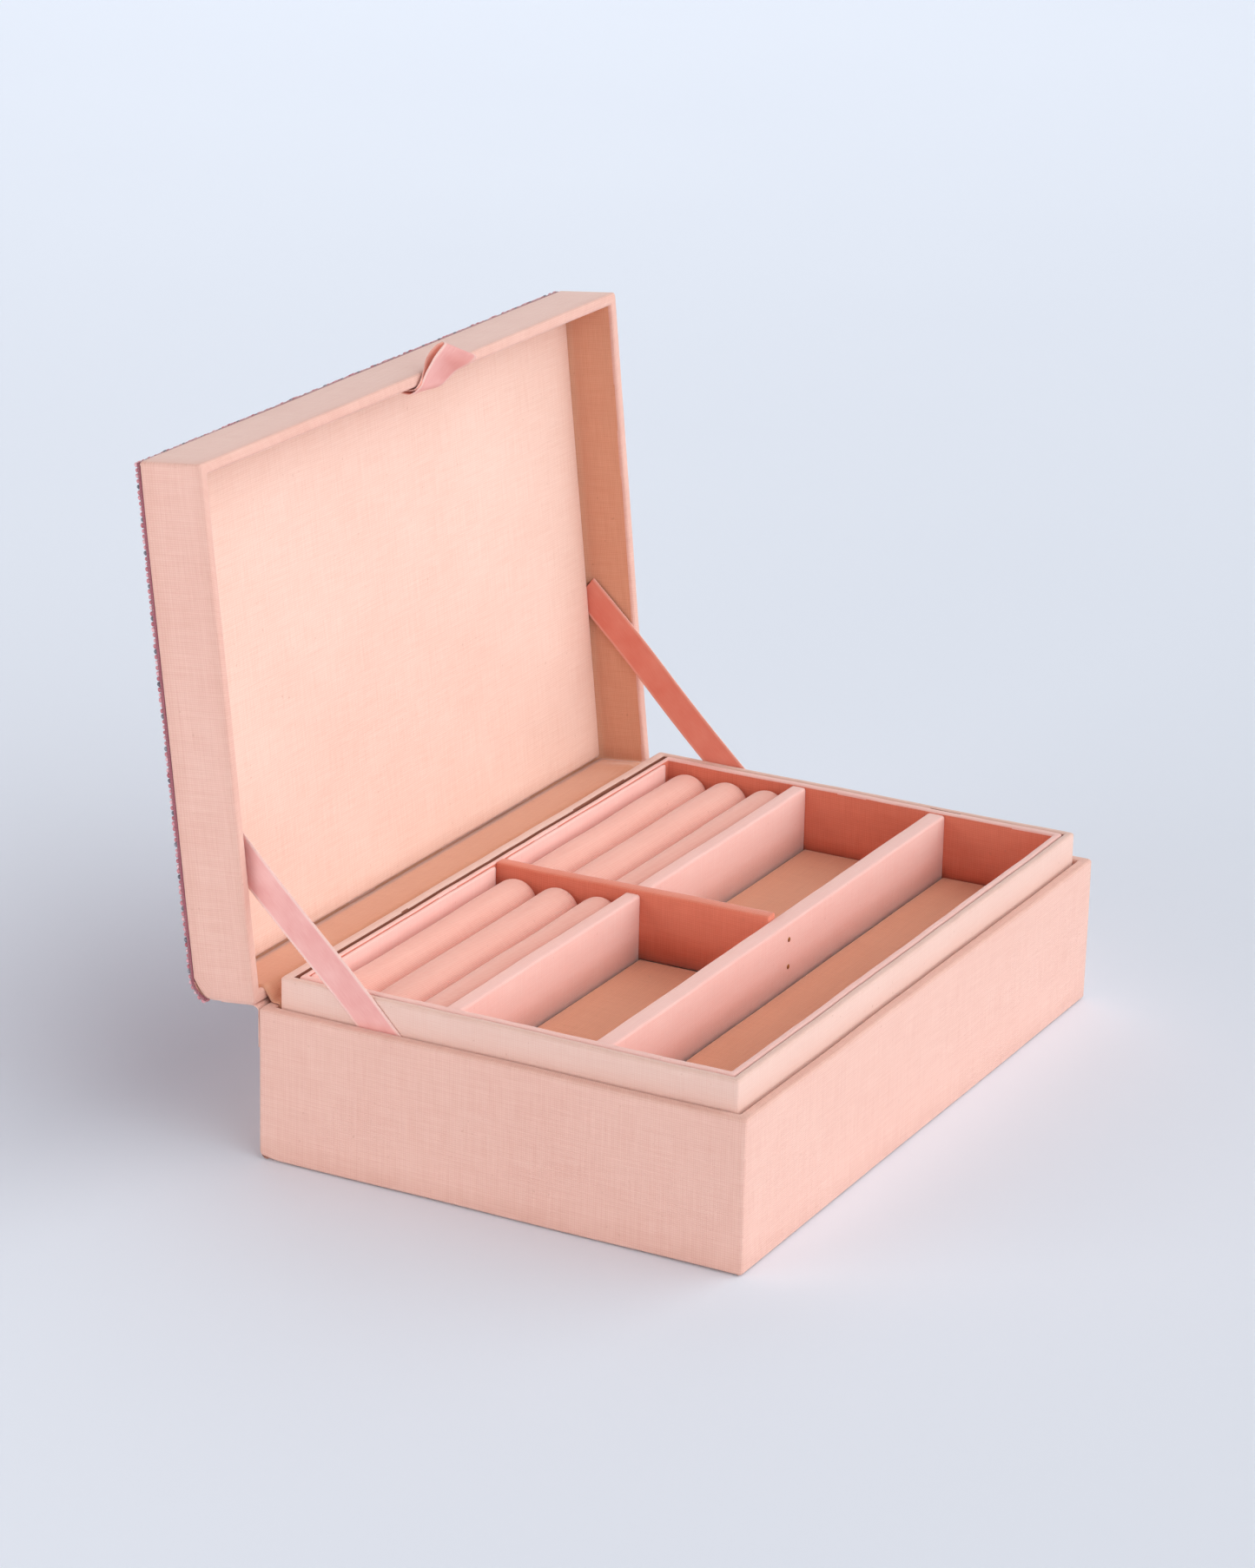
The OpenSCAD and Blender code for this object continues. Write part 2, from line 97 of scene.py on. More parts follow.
def woven(name, thread, shade, worn, spacing, twill=False, slub=0.5, relief=0.10, sheen=0.6, on="cloth"):
    """A cloth: thread and shade are its two yarn colours, worn its colour along rubbed edges,
    spacing the distance between threads and relief how far they stand up, both in mm."""
    rough = 0.9
    made, tree = blank(name)
    if on == "cloth":
        place = add(tree, "UVMap", uv_map="cloth").outputs[0]
    else:
        place = add(tree, "TexCoord").outputs["Object"]
    lay = add(tree, "VectorMath", {0: place, 3: 1 / (spacing * MM)}, operation="SCALE").outputs[0]
    axes = add(tree, "SeparateXYZ", {0: lay})
    across, along = axes.outputs[0], axes.outputs[1]

    # Yarns: long thin noise in both directions, as thick and thin places run along a thread
    streaks = []
    for stretch in ((0.05, 1, 1), (1, 0.05, 1)):
        pulled = add(tree, "VectorMath", {0: lay, 1: stretch}, operation="MULTIPLY").outputs[0]
        streaks.append(add(tree, "TexNoise", {"Vector": pulled, "Scale": 0.9, "Detail": 2.0}).outputs[0])
    yarns = add(tree, "Math", {0: streaks[0], 1: streaks[1]}, operation="ADD").outputs[0]

    # The weave itself: one bump where each pair of threads crosses, or the diagonal ribs of a twill
    if twill:
        run = add(tree, "Math", {0: across, 1: along}, operation="ADD").outputs[0]
        turn = add(tree, "Math", {0: run, 1: 2 * pi}, operation="MULTIPLY").outputs[0]
        wave = add(tree, "Math", {0: turn}, operation="SINE").outputs[0]
        cells = add(tree, "Math", {0: wave, 1: 0.5, 2: 0.5}, operation="MULTIPLY_ADD").outputs[0]
    else:
        waves = []
        for axis in (across, along):
            turn = add(tree, "Math", {0: axis, 1: pi}, operation="MULTIPLY").outputs[0]
            wave = add(tree, "Math", {0: turn}, operation="SINE").outputs[0]
            waves.append(add(tree, "Math", {0: wave}, operation="ABSOLUTE").outputs[0])
        cells = add(tree, "Math", {0: waves[0], 1: waves[1]}, operation="MULTIPLY").outputs[0]

    # Broad patches where the cloth took the dye or the glue differently
    patch = add(tree, "TexNoise", {"Vector": place, "Scale": 28.0, "Detail": 3.0}).outputs[0]
    low = add(tree, "Math", {0: yarns, 1: slub, 2: -slub + 0.5}, operation="MULTIPLY_ADD").outputs[0]
    mixed = add(tree, "Math", {0: patch, 1: 0.35, 2: low}, operation="MULTIPLY_ADD").outputs[0]
    depth = add(tree, "Math", {0: cells, 1: 0.42, 2: mixed}, operation="MULTIPLY_ADD").outputs[0]
    amount = add(tree, "MapRange", {0: depth, 1: 0.32, 2: 1.12}, clamp=True).outputs[0]
    dyed = add(tree, "Mix", {0: amount, 6: linear(shade), 7: linear(thread)}, data_type="RGBA").outputs[2]

    # Small flecks in the yarn, and the rubbed edges
    fleck = add(tree, "TexNoise", {"Vector": place, "Scale": 620.0, "Detail": 1.0}).outputs[0]
    flecks = add(tree, "MapRange", {0: fleck, 1: 0.735, 2: 0.78, 4: 0.28}).outputs[0]
    flecked = add(tree, "Mix", {0: flecks, 6: dyed, 7: linear(worn)}, data_type="RGBA").outputs[2]
    wear = add(tree, "Attribute", attribute_name="wear").outputs["Fac"]
    rub = add(tree, "TexNoise", {"Vector": place, "Scale": 190.0, "Detail": 3.0}).outputs[0]
    rubbed = add(tree, "Math", {0: rub, 1: wear}, operation="MULTIPLY").outputs[0]
    shown = add(tree, "Mix", {0: rubbed, 6: flecked, 7: linear(worn)}, data_type="RGBA").outputs[2]

    height = add(tree, "Math", {0: yarns, 1: 0.5, 2: cells}, operation="MULTIPLY_ADD").outputs[0]
    bump = add(tree, "Bump", {"Strength": 0.55, "Distance": relief * MM, "Height": height}).outputs[0]
    dull = add(tree, "MapRange", {0: cells, 3: rough, 4: rough - 0.12}).outputs[0]
    skin = add(tree, "BsdfPrincipled", {
        "Base Color": shown, "Roughness": dull, "IOR": 1.46, "Specular IOR Level": 0.25, "Normal": bump,
        "Sheen Weight": sheen, "Sheen Roughness": 0.35, "Sheen Tint": linear("#fff6f2")})
    add(tree, "OutputMaterial", {0: skin.outputs[0]})
    return made


# Rayon-and-cotton book cloth in peach pink: matt, with slubs that catch the light. Its real threads are
# 0.4 mm apart, drawn at 0.62 mm so that they show.
book_cloth = woven("linen_finish_book_cloth_peach", "#f3c9bb", "#e2aa9b", "#c98f7a", 0.62)


def span(*nodes):
    """The lowest and highest corners of several CAD nodes together."""
    corners = [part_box(n) for n in nodes]
    low = Vector([min(c[0][i] for c in corners) for i in range(3)])
    return low, Vector([max(c[1][i] for c in corners) for i in range(3)])


def show(name, points, faces, material, uv=None, wear=None):
    """A mesh object from points and faces, with a cloth direction and edge wear if given."""
    mesh = bpy.data.meshes.new(name)
    mesh.from_pydata([tuple(p) for p in points], [], faces)
    if uv:
        mesh.uv_layers.new(name="cloth").data.foreach_set("uv", [c for corner in uv for c in corner])
    if wear:
        mesh.attributes.new("wear", "FLOAT", "POINT").data.foreach_set("value", wear)
    mesh.polygons.foreach_set("use_smooth", [True] * len(faces))
    for m in material if isinstance(material, list) else [material]:
        mesh.materials.append(m)
    made = bpy.data.objects.new(name, mesh)
    bpy.context.scene.collection.objects.link(made)
    return made


def skin_over(name, rings, material, join=False, caps=False, wear=None):
    """A skin over closed rings with equal numbers of points. join closes the last ring to the first
    and caps closes each end with a face. Threads run along and across the rings."""
    count = len(rings[0])
    points = [p for ring in rings for p in ring]
    widest = max(rings, key=lambda r: sum((r[i] - r[i - 1]).length for i in range(count)))
    across = [0.0]
    for i in range(1, count + 1):
        across.append(across[-1] + (widest[i % count] - widest[i - 1]).length)
    along = [0.0]
    for i in range(1, len(rings) + 1):
        step = sum((rings[i % len(rings)][j] - rings[i - 1][j]).length for j in range(count)) / count
        along.append(along[-1] + step)
    faces, uv = [], []
    for i in range(len(rings) if join else len(rings) - 1):
        for j in range(count):
            a, b = (i + 1) % len(rings), (j + 1) % count
            faces.append((i * count + j, i * count + b, a * count + b, a * count + j))
            uv += [(across[j], along[i]), (across[j + 1], along[i])]
            uv += [(across[j + 1], along[i + 1]), (across[j], along[i + 1])]
    if caps:
        for start, order in ((0, -1), (len(points) - count, 1)):
            end = [start + j for j in range(count)][::order]
            faces.append(tuple(end))
            corner = points[end[0]]
            spread = max(range(3), key=lambda k: min(abs(points[e][k] - corner[k]) < 1e-5 for e in end))
            uv += [tuple(points[e][k] for k in range(3) if k != spread) for e in end]
    worn = [wear[i] for i in range(len(rings)) for _ in range(count)] if wear else None
    made = show(name, points, faces, material, uv, worn)
    tidy = bmesh.new()
    tidy.from_mesh(made.data)
    bmesh.ops.remove_doubles(tidy, verts=tidy.verts, dist=1e-6)
    bmesh.ops.recalc_face_normals(tidy, faces=tidy.faces)
    tidy.to_mesh(made.data)
    tidy.free()
    return made


def outline(x0, x1, y0, y1, r, nx, ny, bend=4):
    """Points round a rectangle with rounded corners: nx and ny steps along the sides, bend in a corner."""
    found = []
    sides = [((x0 + r, y0), (x1 - r, y0), nx, -90), ((x1, y0 + r), (x1, y1 - r), ny, 0),
             ((x1 - r, y1), (x0 + r, y1), nx, 90), ((x0, y1 - r), (x0, y0 + r), ny, 180)]
    for (ax, ay), (bx, by), steps, facing in sides:
        for k in range(steps + 1):
            found.append(Vector((ax + (bx - ax) * k / steps, ay + (by - ay) * k / steps, 0)))
        out = Vector((cos(radians(facing)), sin(radians(facing)), 0))
        centre = Vector((bx, by, 0)) - out * r
        for k in range(1, bend):
            turn = radians(facing + 90 * k / bend)
            found.append(centre + Vector((cos(turn), sin(turn), 0)) * r)
    return found


def rim(thick, r, steps=4):
    """(share of the thickness, depth below the top) over a wall's top with rounded edges."""
    turns = [pi / 2 * k / steps for k in range(steps + 1)]
    first = [(r * (1 - cos(a)) / thick, r * (1 - sin(a))) for a in turns]
    return first + [(1 - share, down) for share, down in reversed(first)]


# Without a seed the wander below would come out differently each time
noise.seed_set(1)
stay_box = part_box("right_ribbon_stay")
stay_x = (stay_box[0].x + stay_box[1].x) / 2


def uneven(p, size=0.045, height=0.00028):
    """How far glued board and cloth wander from true at a point, in metres, in waves of that size.
    The faces of the narrow gap that holds the stays, beside the neck, lie true sideways, or they
    would cut the ribbon."""
    move = noise.noise_vector(p / size) * height
    away = abs(abs(p.x) - stay_x)
    move.x *= min(1.0, max(0.0, (away - 0.6 * MM) / (1.2 * MM)))
    return move


def at(ring, other, share, z):
    """The ring at that share of the way from one outline to the other, at height z."""
    return [Vector((a.x + (b.x - a.x) * share, a.y + (b.y - a.y) * share, z)) for a, b in zip(ring, other)]


def wandering(rings):
    """The rings with the unevenness that all the boards of one box share."""
    return [[p + uneven(p) for p in ring] for ring in rings]


base_walls = ("base_front_wall", "base_back_wall", "base_left_wall", "base_right_wall")
low, high = span(*base_walls)
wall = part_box("base_front_wall")[1].y - low.y
# How round the rim is, and the bottom edges, which are rounder along the back
edge_r = 0.9 * MM
heel_r = 2.5 * MM
sole_r = 0.7 * MM
outside = outline(low.x, high.x, low.y, high.y, 1.0 * MM, 46, 30)
inside = outline(low.x + wall, high.x - wall, low.y + wall, high.y - wall, 0.5 * MM, 46, 30)
rings, worn = [], []
for k in range(5):
    turn = pi / 2 * k / 4
    ring = []
    for a in outside:
        back = max(0.0, (a.y - high.y + heel_r) / heel_r)
        r = sole_r + (heel_r - sole_r) * min(1.0, back)
        on_side = abs(a.x) > high.x - 1e-6
        inward = Vector((-1 if a.x > 0 else 1, 0, 0)) if on_side else Vector((0, -1 if a.y > 0 else 1, 0))
        ring.append(a + inward * r * (1 - sin(turn)) + Vector((0, 0, low.z + r * (1 - cos(turn)))))
    rings.append(ring)
    worn.append(1.0 if k < 3 else 0.4)
for k in range(1, 9):
    z = low.z + heel_r + (high.z - edge_r - low.z - heel_r) * k / 8 - 0.02 * MM
    rings.append(at(outside, inside, 0, z))
    worn.append(0.0)
for share, down in rim(wall, edge_r):
    rings.append(at(outside, inside, share, high.z - down))
    worn.append(0.25)
for z in (high.z - 4 * MM, high.z - 20 * MM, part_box("base_bottom_board")[1].z):
    rings.append(at(outside, inside, 1, z))
    worn.append(0.0)
rings.append(at(outside, inside, 1, low.z))
worn.append(0.0)
case = skin_over("base_case_cloth", wandering(rings), book_cloth, join=True, wear=worn)
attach(case, "base")
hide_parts(*base_walls)


# ---------------------------------------------------------------- Base bottom, underside and risers
# Under the cloth the boards are bare greyboard: the bottom, the tray's floor and its two risers.
# A sheet of paper covers the underside, and a lining card lies on the floor under the tray.

# Greyboard is pressed recycled fibre: flat grey-brown with darker fibres, fully matt.
greyboard, tree = blank("pressed_recycled_greyboard")
place = add(tree, "TexCoord").outputs["Object"]
long_fibres = add(tree, "VectorMath", {0: place, 1: (900, 260, 900)}, operation="MULTIPLY").outputs[0]
fibres = add(tree, "TexNoise", {"Vector": long_fibres, "Scale": 1.0, "Detail": 4.0}).outputs[0]
mottle = add(tree, "ValToRGB", {0: fibres})
mottle.color_ramp.elements[0].color = linear("#8d857c")
mottle.color_ramp.elements[1].color = linear("#b9b1a6")
bump = add(tree, "Bump", {"Strength": 0.4, "Distance": 0.00008, "Height": fibres}).outputs[0]
skin = add(tree, "BsdfPrincipled", {
    "Base Color": mottle.outputs[0], "Roughness": 0.95, "IOR": 1.5, "Normal": bump})
add(tree, "OutputMaterial", {0: skin.outputs[0]})

# Uncoated backing paper, dyed to go with the cloth: finer fibres, and faint clouds where the glue dried.
backing_paper, tree = blank("dyed_backing_paper")
place = add(tree, "TexCoord").outputs["Object"]
clouds = add(tree, "TexNoise", {"Vector": place, "Scale": 40.0, "Detail": 3.0}).outputs[0]
fine = add(tree, "TexNoise", {"Vector": place, "Scale": 1500.0, "Detail": 2.0}).outputs[0]
both = add(tree, "Math", {0: fine, 1: 0.5, 2: clouds}, operation="MULTIPLY_ADD").outputs[0]
tone = add(tree, "MapRange", {0: both, 1: 0.4, 2: 1.1}).outputs[0]
paper = add(tree, "Mix", {0: tone, 6: linear("#e6bfae"), 7: linear("#f1d3c5")}, data_type="RGBA").outputs[2]
bump = add(tree, "Bump", {"Strength": 0.3, "Distance": 0.00005, "Height": fine}).outputs[0]
skin = add(tree, "BsdfPrincipled", {"Base Color": paper, "Roughness": 0.85, "IOR": 1.5, "Normal": bump})
add(tree, "OutputMaterial", {0: skin.outputs[0]})

# The same book cloth on the hidden floor lining, laid by its place and not by a seam.
lining_laid = woven("linen_finish_book_cloth_laid", "#eec3b0", "#dca68f", "#b98470", 0.62, on="object")

for node, finish in (("base_bottom_board", greyboard), ("tray_floor_board", greyboard),
                     ("left_tray_riser", greyboard), ("right_tray_riser", greyboard),
                     ("underside_sheet", backing_paper), ("base_floor_lining", lining_laid)):
    slots = frame["nodes"][node].data.materials
    slots.clear()
    slots.append(finish)


# ---------------------------------------------------------------- Neck
# Four thinner boards glued inside the base, standing proud so that the closed lid slides over them.
# They are covered in a paler, tighter book cloth, folded over the top and overlapped at the corners.

# A closer-woven book cloth in pale peach, a little smoother than the case. Threads drawn at 0.5 mm.
neck_cloth = woven("close_woven_book_cloth_pale", "#f2d2c6", "#e7bbad", "#bf8a72", 0.5, slub=0.4, relief=0.07)

# Inside, below the fold over the top, the neck's cloth is painted a shaded brown: painted shade for the dark gap
# between the neck and the tray. Threads drawn at 0.5 mm.
painted_shade_brown_cloth = woven("neck_inner_cloth_painted_shade_brown", "#a8705c", "#7e4c3c", "#5e3529", 0.5, sheen=0.0)

neck_boards = ("neck_front_board", "neck_back_board", "neck_left_board", "neck_right_board")


def walls(name, outer, inner, bottom, top, r, cloth, ripple=0.00012):
    """A frame of covered boards between an outer and an inner rectangle (x0, x1, y0, y1), whose
    top edge ripples slightly, as hand-folded cloth does. cloth is a pair: the second is on the
    inner faces, below the fold over the top, and is a deeper cloth painted as the shade inside."""
    corner, rim_wear = 0.8 * MM, 0.22
    out = outline(*outer, corner, 60, 40)
    inn = outline(*inner, corner * 0.5, 60, 40)
    thick = inner[0] - outer[0]
    rings, worn = [], []
    for k in range(5):
        rings.append(at(out, inn, 0, bottom + (top - r - 0.3 * MM - bottom) * k / 4))
        worn.append(0.0)
    for share, down in rim(thick, r):
        level = at(out, inn, share, top - down)
        rings.append([p + Vector((0, 0, noise.noise(p / 0.011) * ripple)) for p in level])
        worn.append(rim_wear)
    for k in range(4):
        rings.append(at(out, inn, 1, top - r - 0.3 * MM - (top - r - 0.3 * MM - bottom) * k / 3))
        worn.append(0.0)
    made = skin_over(name, wandering(rings), cloth, join=True, wear=worn)
    # Inner faces below the fold take the second cloth: painted shade
    for face in made.data.polygons:
        c = face.center
        in_painted_shade_area = inner[0] - MM < c.x < inner[1] + MM and inner[2] - MM < c.y < inner[3] + MM
        if in_painted_shade_area and c.z < top - 0.45 * MM:
            face.material_index = 1
    return made


def rectangle_inside(back, front, left, right):
    """The inner rectangle of a frame of boards, from its back, front, left and right board."""
    return (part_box(left)[1].x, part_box(right)[0].x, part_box(front)[1].y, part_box(back)[0].y)


low, high = span(*neck_boards)
neck_out = (low.x, high.x, low.y, high.y)
neck_in = rectangle_inside("neck_back_board", "neck_front_board", "neck_left_board", "neck_right_board")
# The neck's inner faces wear the painted-shade brown cloth
neck = walls("neck_cloth", neck_out, neck_in, low.z, high.z, 0.8 * MM, [neck_cloth, painted_shade_brown_cloth])
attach(neck, "base")
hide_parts(*neck_boards)


# ---------------------------------------------------------------- Tray walls
# The lift-out tray's four thin walls, folded over the top: a pale painted-light cloth on the rims and outer
# faces, and a warmer, deeper pink than the case, painted as shade, on the inner faces.
# It stands inside the neck with a little play, which shows as a dark line, widest at the back.

# Cotton book cloth painted paler than the tray's own rose, as painted light: it keeps the rims, the long pieces
# and the liner cards light where the light falls on them.
painted_light_rose_cloth = woven("cotton_book_cloth_rose_painted_light", "#fdd6ce", "#f5bbb2", "#d79c8f", 0.5, slub=0.4, relief=0.07)

# Cotton book cloth in a warmer, stronger pink, painted deeper as shade: it stands for the shade and the light
# bounced inside the tray, on the inner faces of the walls and on the cross divider.
painted_shade_rose_cloth = woven("cotton_book_cloth_rose_painted_shade", "#f0957c", "#da735a", "#c47f6c", 0.5, slub=0.4, relief=0.07)

tray_walls = ("tray_front_wall", "tray_back_wall", "tray_left_wall", "tray_right_wall")
low, high = span(*tray_walls)
tray_out = (low.x, high.x, low.y, high.y)
tray_in = rectangle_inside("tray_back_wall", "tray_front_wall", "tray_left_wall", "tray_right_wall")
tray = walls("tray_wall_cloth", tray_out, tray_in, low.z, high.z, 0.65 * MM, [painted_light_rose_cloth, painted_shade_rose_cloth],
             ripple=0.00016)
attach(tray, "tray")
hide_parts(*tray_walls)


# ---------------------------------------------------------------- Dividers
# Boards wrapped in the tray's pale painted-light cloth and its deeper painted-shade cloth, with soft folded top
# edges: one along the front compartment, one across the middle, nailed to it through the front, and one on each
# side before the ring rolls.

def board(name, low, high, along, r, cloth, tip=0.0, ends=0.5 * MM):
    """A covered board of the tray from one corner to the other, along X or Y, whose top edges and
    ends are rounded. tip lifts its front end by that angle."""
    steps = 40
    a = 0 if along == "X" else 1
    b = 1 - a
    middle = (low[b] + high[b]) / 2
    half = (high[b] - low[b]) / 2
    section = [(-half, low.z), (-half, (low.z + high.z) / 2)]
    section += [(-half + 2 * half * share, high.z - down) for share, down in rim(2 * half, r)]
    section += [(half, (low.z + high.z) / 2), (half, low.z)]
    stops = [(0, 0.0), (0, 0.6), (ends * 0.3, 0.9), (ends, 1.0)]
    length = high[a] - low[a]
    run = stops + [(ends + (length - 2 * ends) * k / steps, 1.0) for k in range(1, steps)]
    run += [(length - t, s) for t, s in reversed(stops)]
    rings, worn = [], []
    for t, s in run:
        ring = []
        for off, z in section:
            p = Vector((0, 0, z))
            p[a] = low[a] + t
            p[b] = middle + (off if s == 1.0 else off * (1 - (1 - s) * ends / half))
            if s < 1.0:
                p.z = low.z + (z - low.z) * (1 - (1 - s) * ends / (high.z - low.z))
            if s == 0.0:
                p[b] = middle + off * 0.02
                p.z = low.z + (high.z - low.z) * (0.5 + (p.z - low.z) / (high.z - low.z) * 0.02)
            if tip:
                p.z += (high[a] - p[a]) * tip
            fold = noise.noise(p / 0.012) * 0.00012 if z > low.z + 10 * MM else 0.0
            p += uneven(p) + Vector((0, 0, fold))
            ring.append(p)
        rings.append(ring)
        worn.append(0.3 if s < 1 else 0.06)
    made = skin_over(name, rings, cloth, wear=worn)
    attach(made, "tray")
    return made


# The long and ring dividers face the light and wear the pale, painted-light cloth
for node in ("long_divider", "left_ring_divider", "right_ring_divider"):
    made = board(node + "_board", *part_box(node), "X", 0.85 * MM, painted_light_rose_cloth)
    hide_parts(node)

low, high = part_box("cross_divider")
tip = radians(0.6)
flat_top = high.z - (high.y - low.y) * tip
level_high = Vector((high.x, high.y, flat_top))
# The cross divider's faces lie in shade and wear the deeper, painted-shade cloth
made = board("cross_divider_board", low, level_high, "Y", 0.75 * MM, painted_shade_rose_cloth, tip=tip)
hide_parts("cross_divider")

# Two small nails, driven through the long divider into the cross divider's end. Brass, dulled brown.
nail_brass, tree = blank("brass_dulled_brown")
place = add(tree, "TexCoord").outputs["Object"]
tarnish = add(tree, "TexNoise", {"Vector": place, "Scale": 1800.0, "Detail": 3.0}).outputs[0]
dulled = add(tree, "Mix", {0: tarnish, 6: linear("#8a5428"), 7: linear("#c08a4e")}, data_type="RGBA").outputs[2]
rough = add(tree, "MapRange", {0: tarnish, 3: 0.35, 4: 0.6}).outputs[0]
skin = add(tree, "BsdfPrincipled", {"Base Color": dulled, "Metallic": 0.9, "Roughness": rough})
add(tree, "OutputMaterial", {0: skin.outputs[0]})

low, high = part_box("divider_nails")
head_r = (high.x - low.x) / 2
rings = []
# From the domed head to the point: (depth in mm, share of the head's radius)
spine = [(0.0, 0.02), (0.02, 0.5), (0.10, 0.85), (0.22, 1.0), (0.30, 0.98), (0.32, 0.6), (7.0, 0.58),
         (11.0, 0.5), (11.8, 0.05)]
circle = [2 * pi * j / 16 for j in range(16)]
for z in (high.z - head_r, low.z + head_r):
    rings.append([[Vector((head_r * s * cos(a), low.y + d * MM, z + head_r * s * sin(a))) for a in circle]
                  for d, s in spine])
nails = [skin_over(f"nail_{n}", r, nail_brass, caps=True) for n, r in zip(("upper", "lower"), rings)]
for nail in nails:
    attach(nail, "tray")
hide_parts("divider_nails")


# ---------------------------------------------------------------- Floor cards and liner cards
# Thin cards covered in cloth and dropped into each compartment. Two more stand behind the ring
# rolls, against the tray's back wall; the right one stops short and shows its folded end.

def pad(name, u_range, v_range, w_range, r, cloth, place, crown=0.0, wander=0.0002, size=0.03, nu=48, nv=24):
    """A cloth-covered card over a rectangle u by v, rounded over r at its edges and crowned in the
    middle. w_range is its back and its face; place turns (u, v, w) into a point of the object."""
    near = [0, 0.08, 0.25, 0.5, 1.0]

    def stops(span_of, steps):
        lo, hi = span_of
        edge = [lo + r * k for k in near]
        inner = [lo + r + (hi - lo - 2 * r) * k / steps for k in range(1, steps)]
        return edge + inner + [lo + hi - e for e in reversed(edge)]

    us, vs = stops(u_range, nu), stops(v_range, nv)
    back, face = w_range
    grow = 1 if face > back else -1
    points, worn, uv_of = [], [], []
    for v in vs:
        for u in us:
            eu = max(0.0, 1 - min(u - us[0], us[-1] - u) / r)
            ev = max(0.0, 1 - min(v - vs[0], vs[-1] - v) / r)
            edge = min(1.0, hypot(eu, ev))
            drop = r * (1 - sqrt(1 - edge * edge))
            middle = sin(pi * (u - us[0]) / (us[-1] - us[0])) * sin(pi * (v - vs[0]) / (vs[-1] - vs[0]))
            wave = noise.noise(Vector((u, v, face)) / size) * wander * (1 - edge)
            points.append(place(u, v, face - grow * drop + grow * crown * sqrt(max(0.0, middle)) + wave))
            worn.append(0.5 * edge)
            uv_of.append((u, v))
    across, faces, uv = len(us), [], []
    for j in range(len(vs) - 1):
        for i in range(across - 1):
            quad = (j * across + i, j * across + i + 1, (j + 1) * across + i + 1, (j + 1) * across + i)
            faces.append(quad)
            uv += [uv_of[q] for q in quad]
    loop = [i for i in range(across)] + [j * across + across - 1 for j in range(1, len(vs))]
    loop += [(len(vs) - 1) * across + i for i in range(across - 2, -1, -1)]
    loop += [j * across for j in range(len(vs) - 2, 0, -1)]
    start = len(points)
    points += [place(*uv_of[q], back) for q in loop]
    worn += [0.2] * len(loop)
    for k in range(len(loop)):
        n = (k + 1) % len(loop)
        faces.append((loop[n], loop[k], start + k, start + n))
        uv += [uv_of[loop[n]], uv_of[loop[k]], uv_of[loop[k]], uv_of[loop[n]]]
    faces.append(tuple(start + k for k in range(len(loop))))
    uv += [uv_of[q] for q in loop]
    made = show(name, points, faces, cloth, uv, worn)
    tidy = bmesh.new()
    tidy.from_mesh(made.data)
    bmesh.ops.recalc_face_normals(tidy, faces=tidy.faces)
    tidy.to_mesh(made.data)
    tidy.free()
    return made


def upright(u, v, w):
    """A point of the base and tray, whose cards face up."""
    p = Vector((u, v, w))
    return p + uneven(p)


# The cards wear a sandier cloth than the walls. Threads drawn at 0.6 mm.
card_cloth = woven("linen_finish_book_cloth_sand", "#f6b897", "#e29c7d", "#bd7f68", 0.6)

for node in ("front_floor_card", "left_floor_card", "right_floor_card"):
    low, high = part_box(node)
    made = pad(node + "_covered", (low.x, high.x), (low.y, high.y), (low.z, high.z), 0.6 * MM, card_cloth,
               upright, nv=12)
    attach(made, "tray")
    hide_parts(node)

# The liner cards wear the pale, painted-light cloth
for node in ("left_liner_card", "right_liner_card"):
    made = board(node + "_covered", *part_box(node), "X", 0.55 * MM, painted_light_rose_cloth, ends=1.6 * MM)
    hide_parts(node)


# ---------------------------------------------------------------- Ring rolls
# Six sausages of soft foam in fine cotton twill, side by side, each with a domed top and its cloth
# tucked in at the ends. They touch, so that a ring pushed between two of them is gripped.

# Fine cotton twill, its ribs 0.35 mm apart and drawn at 0.9 mm so that they show: diagonal lines and
# a soft sheen.
twill = woven("fine_cotton_twill_salmon", "#fbc9bb", "#ea9f90", "#d08e7c", 0.9, twill=True, slub=0.3)

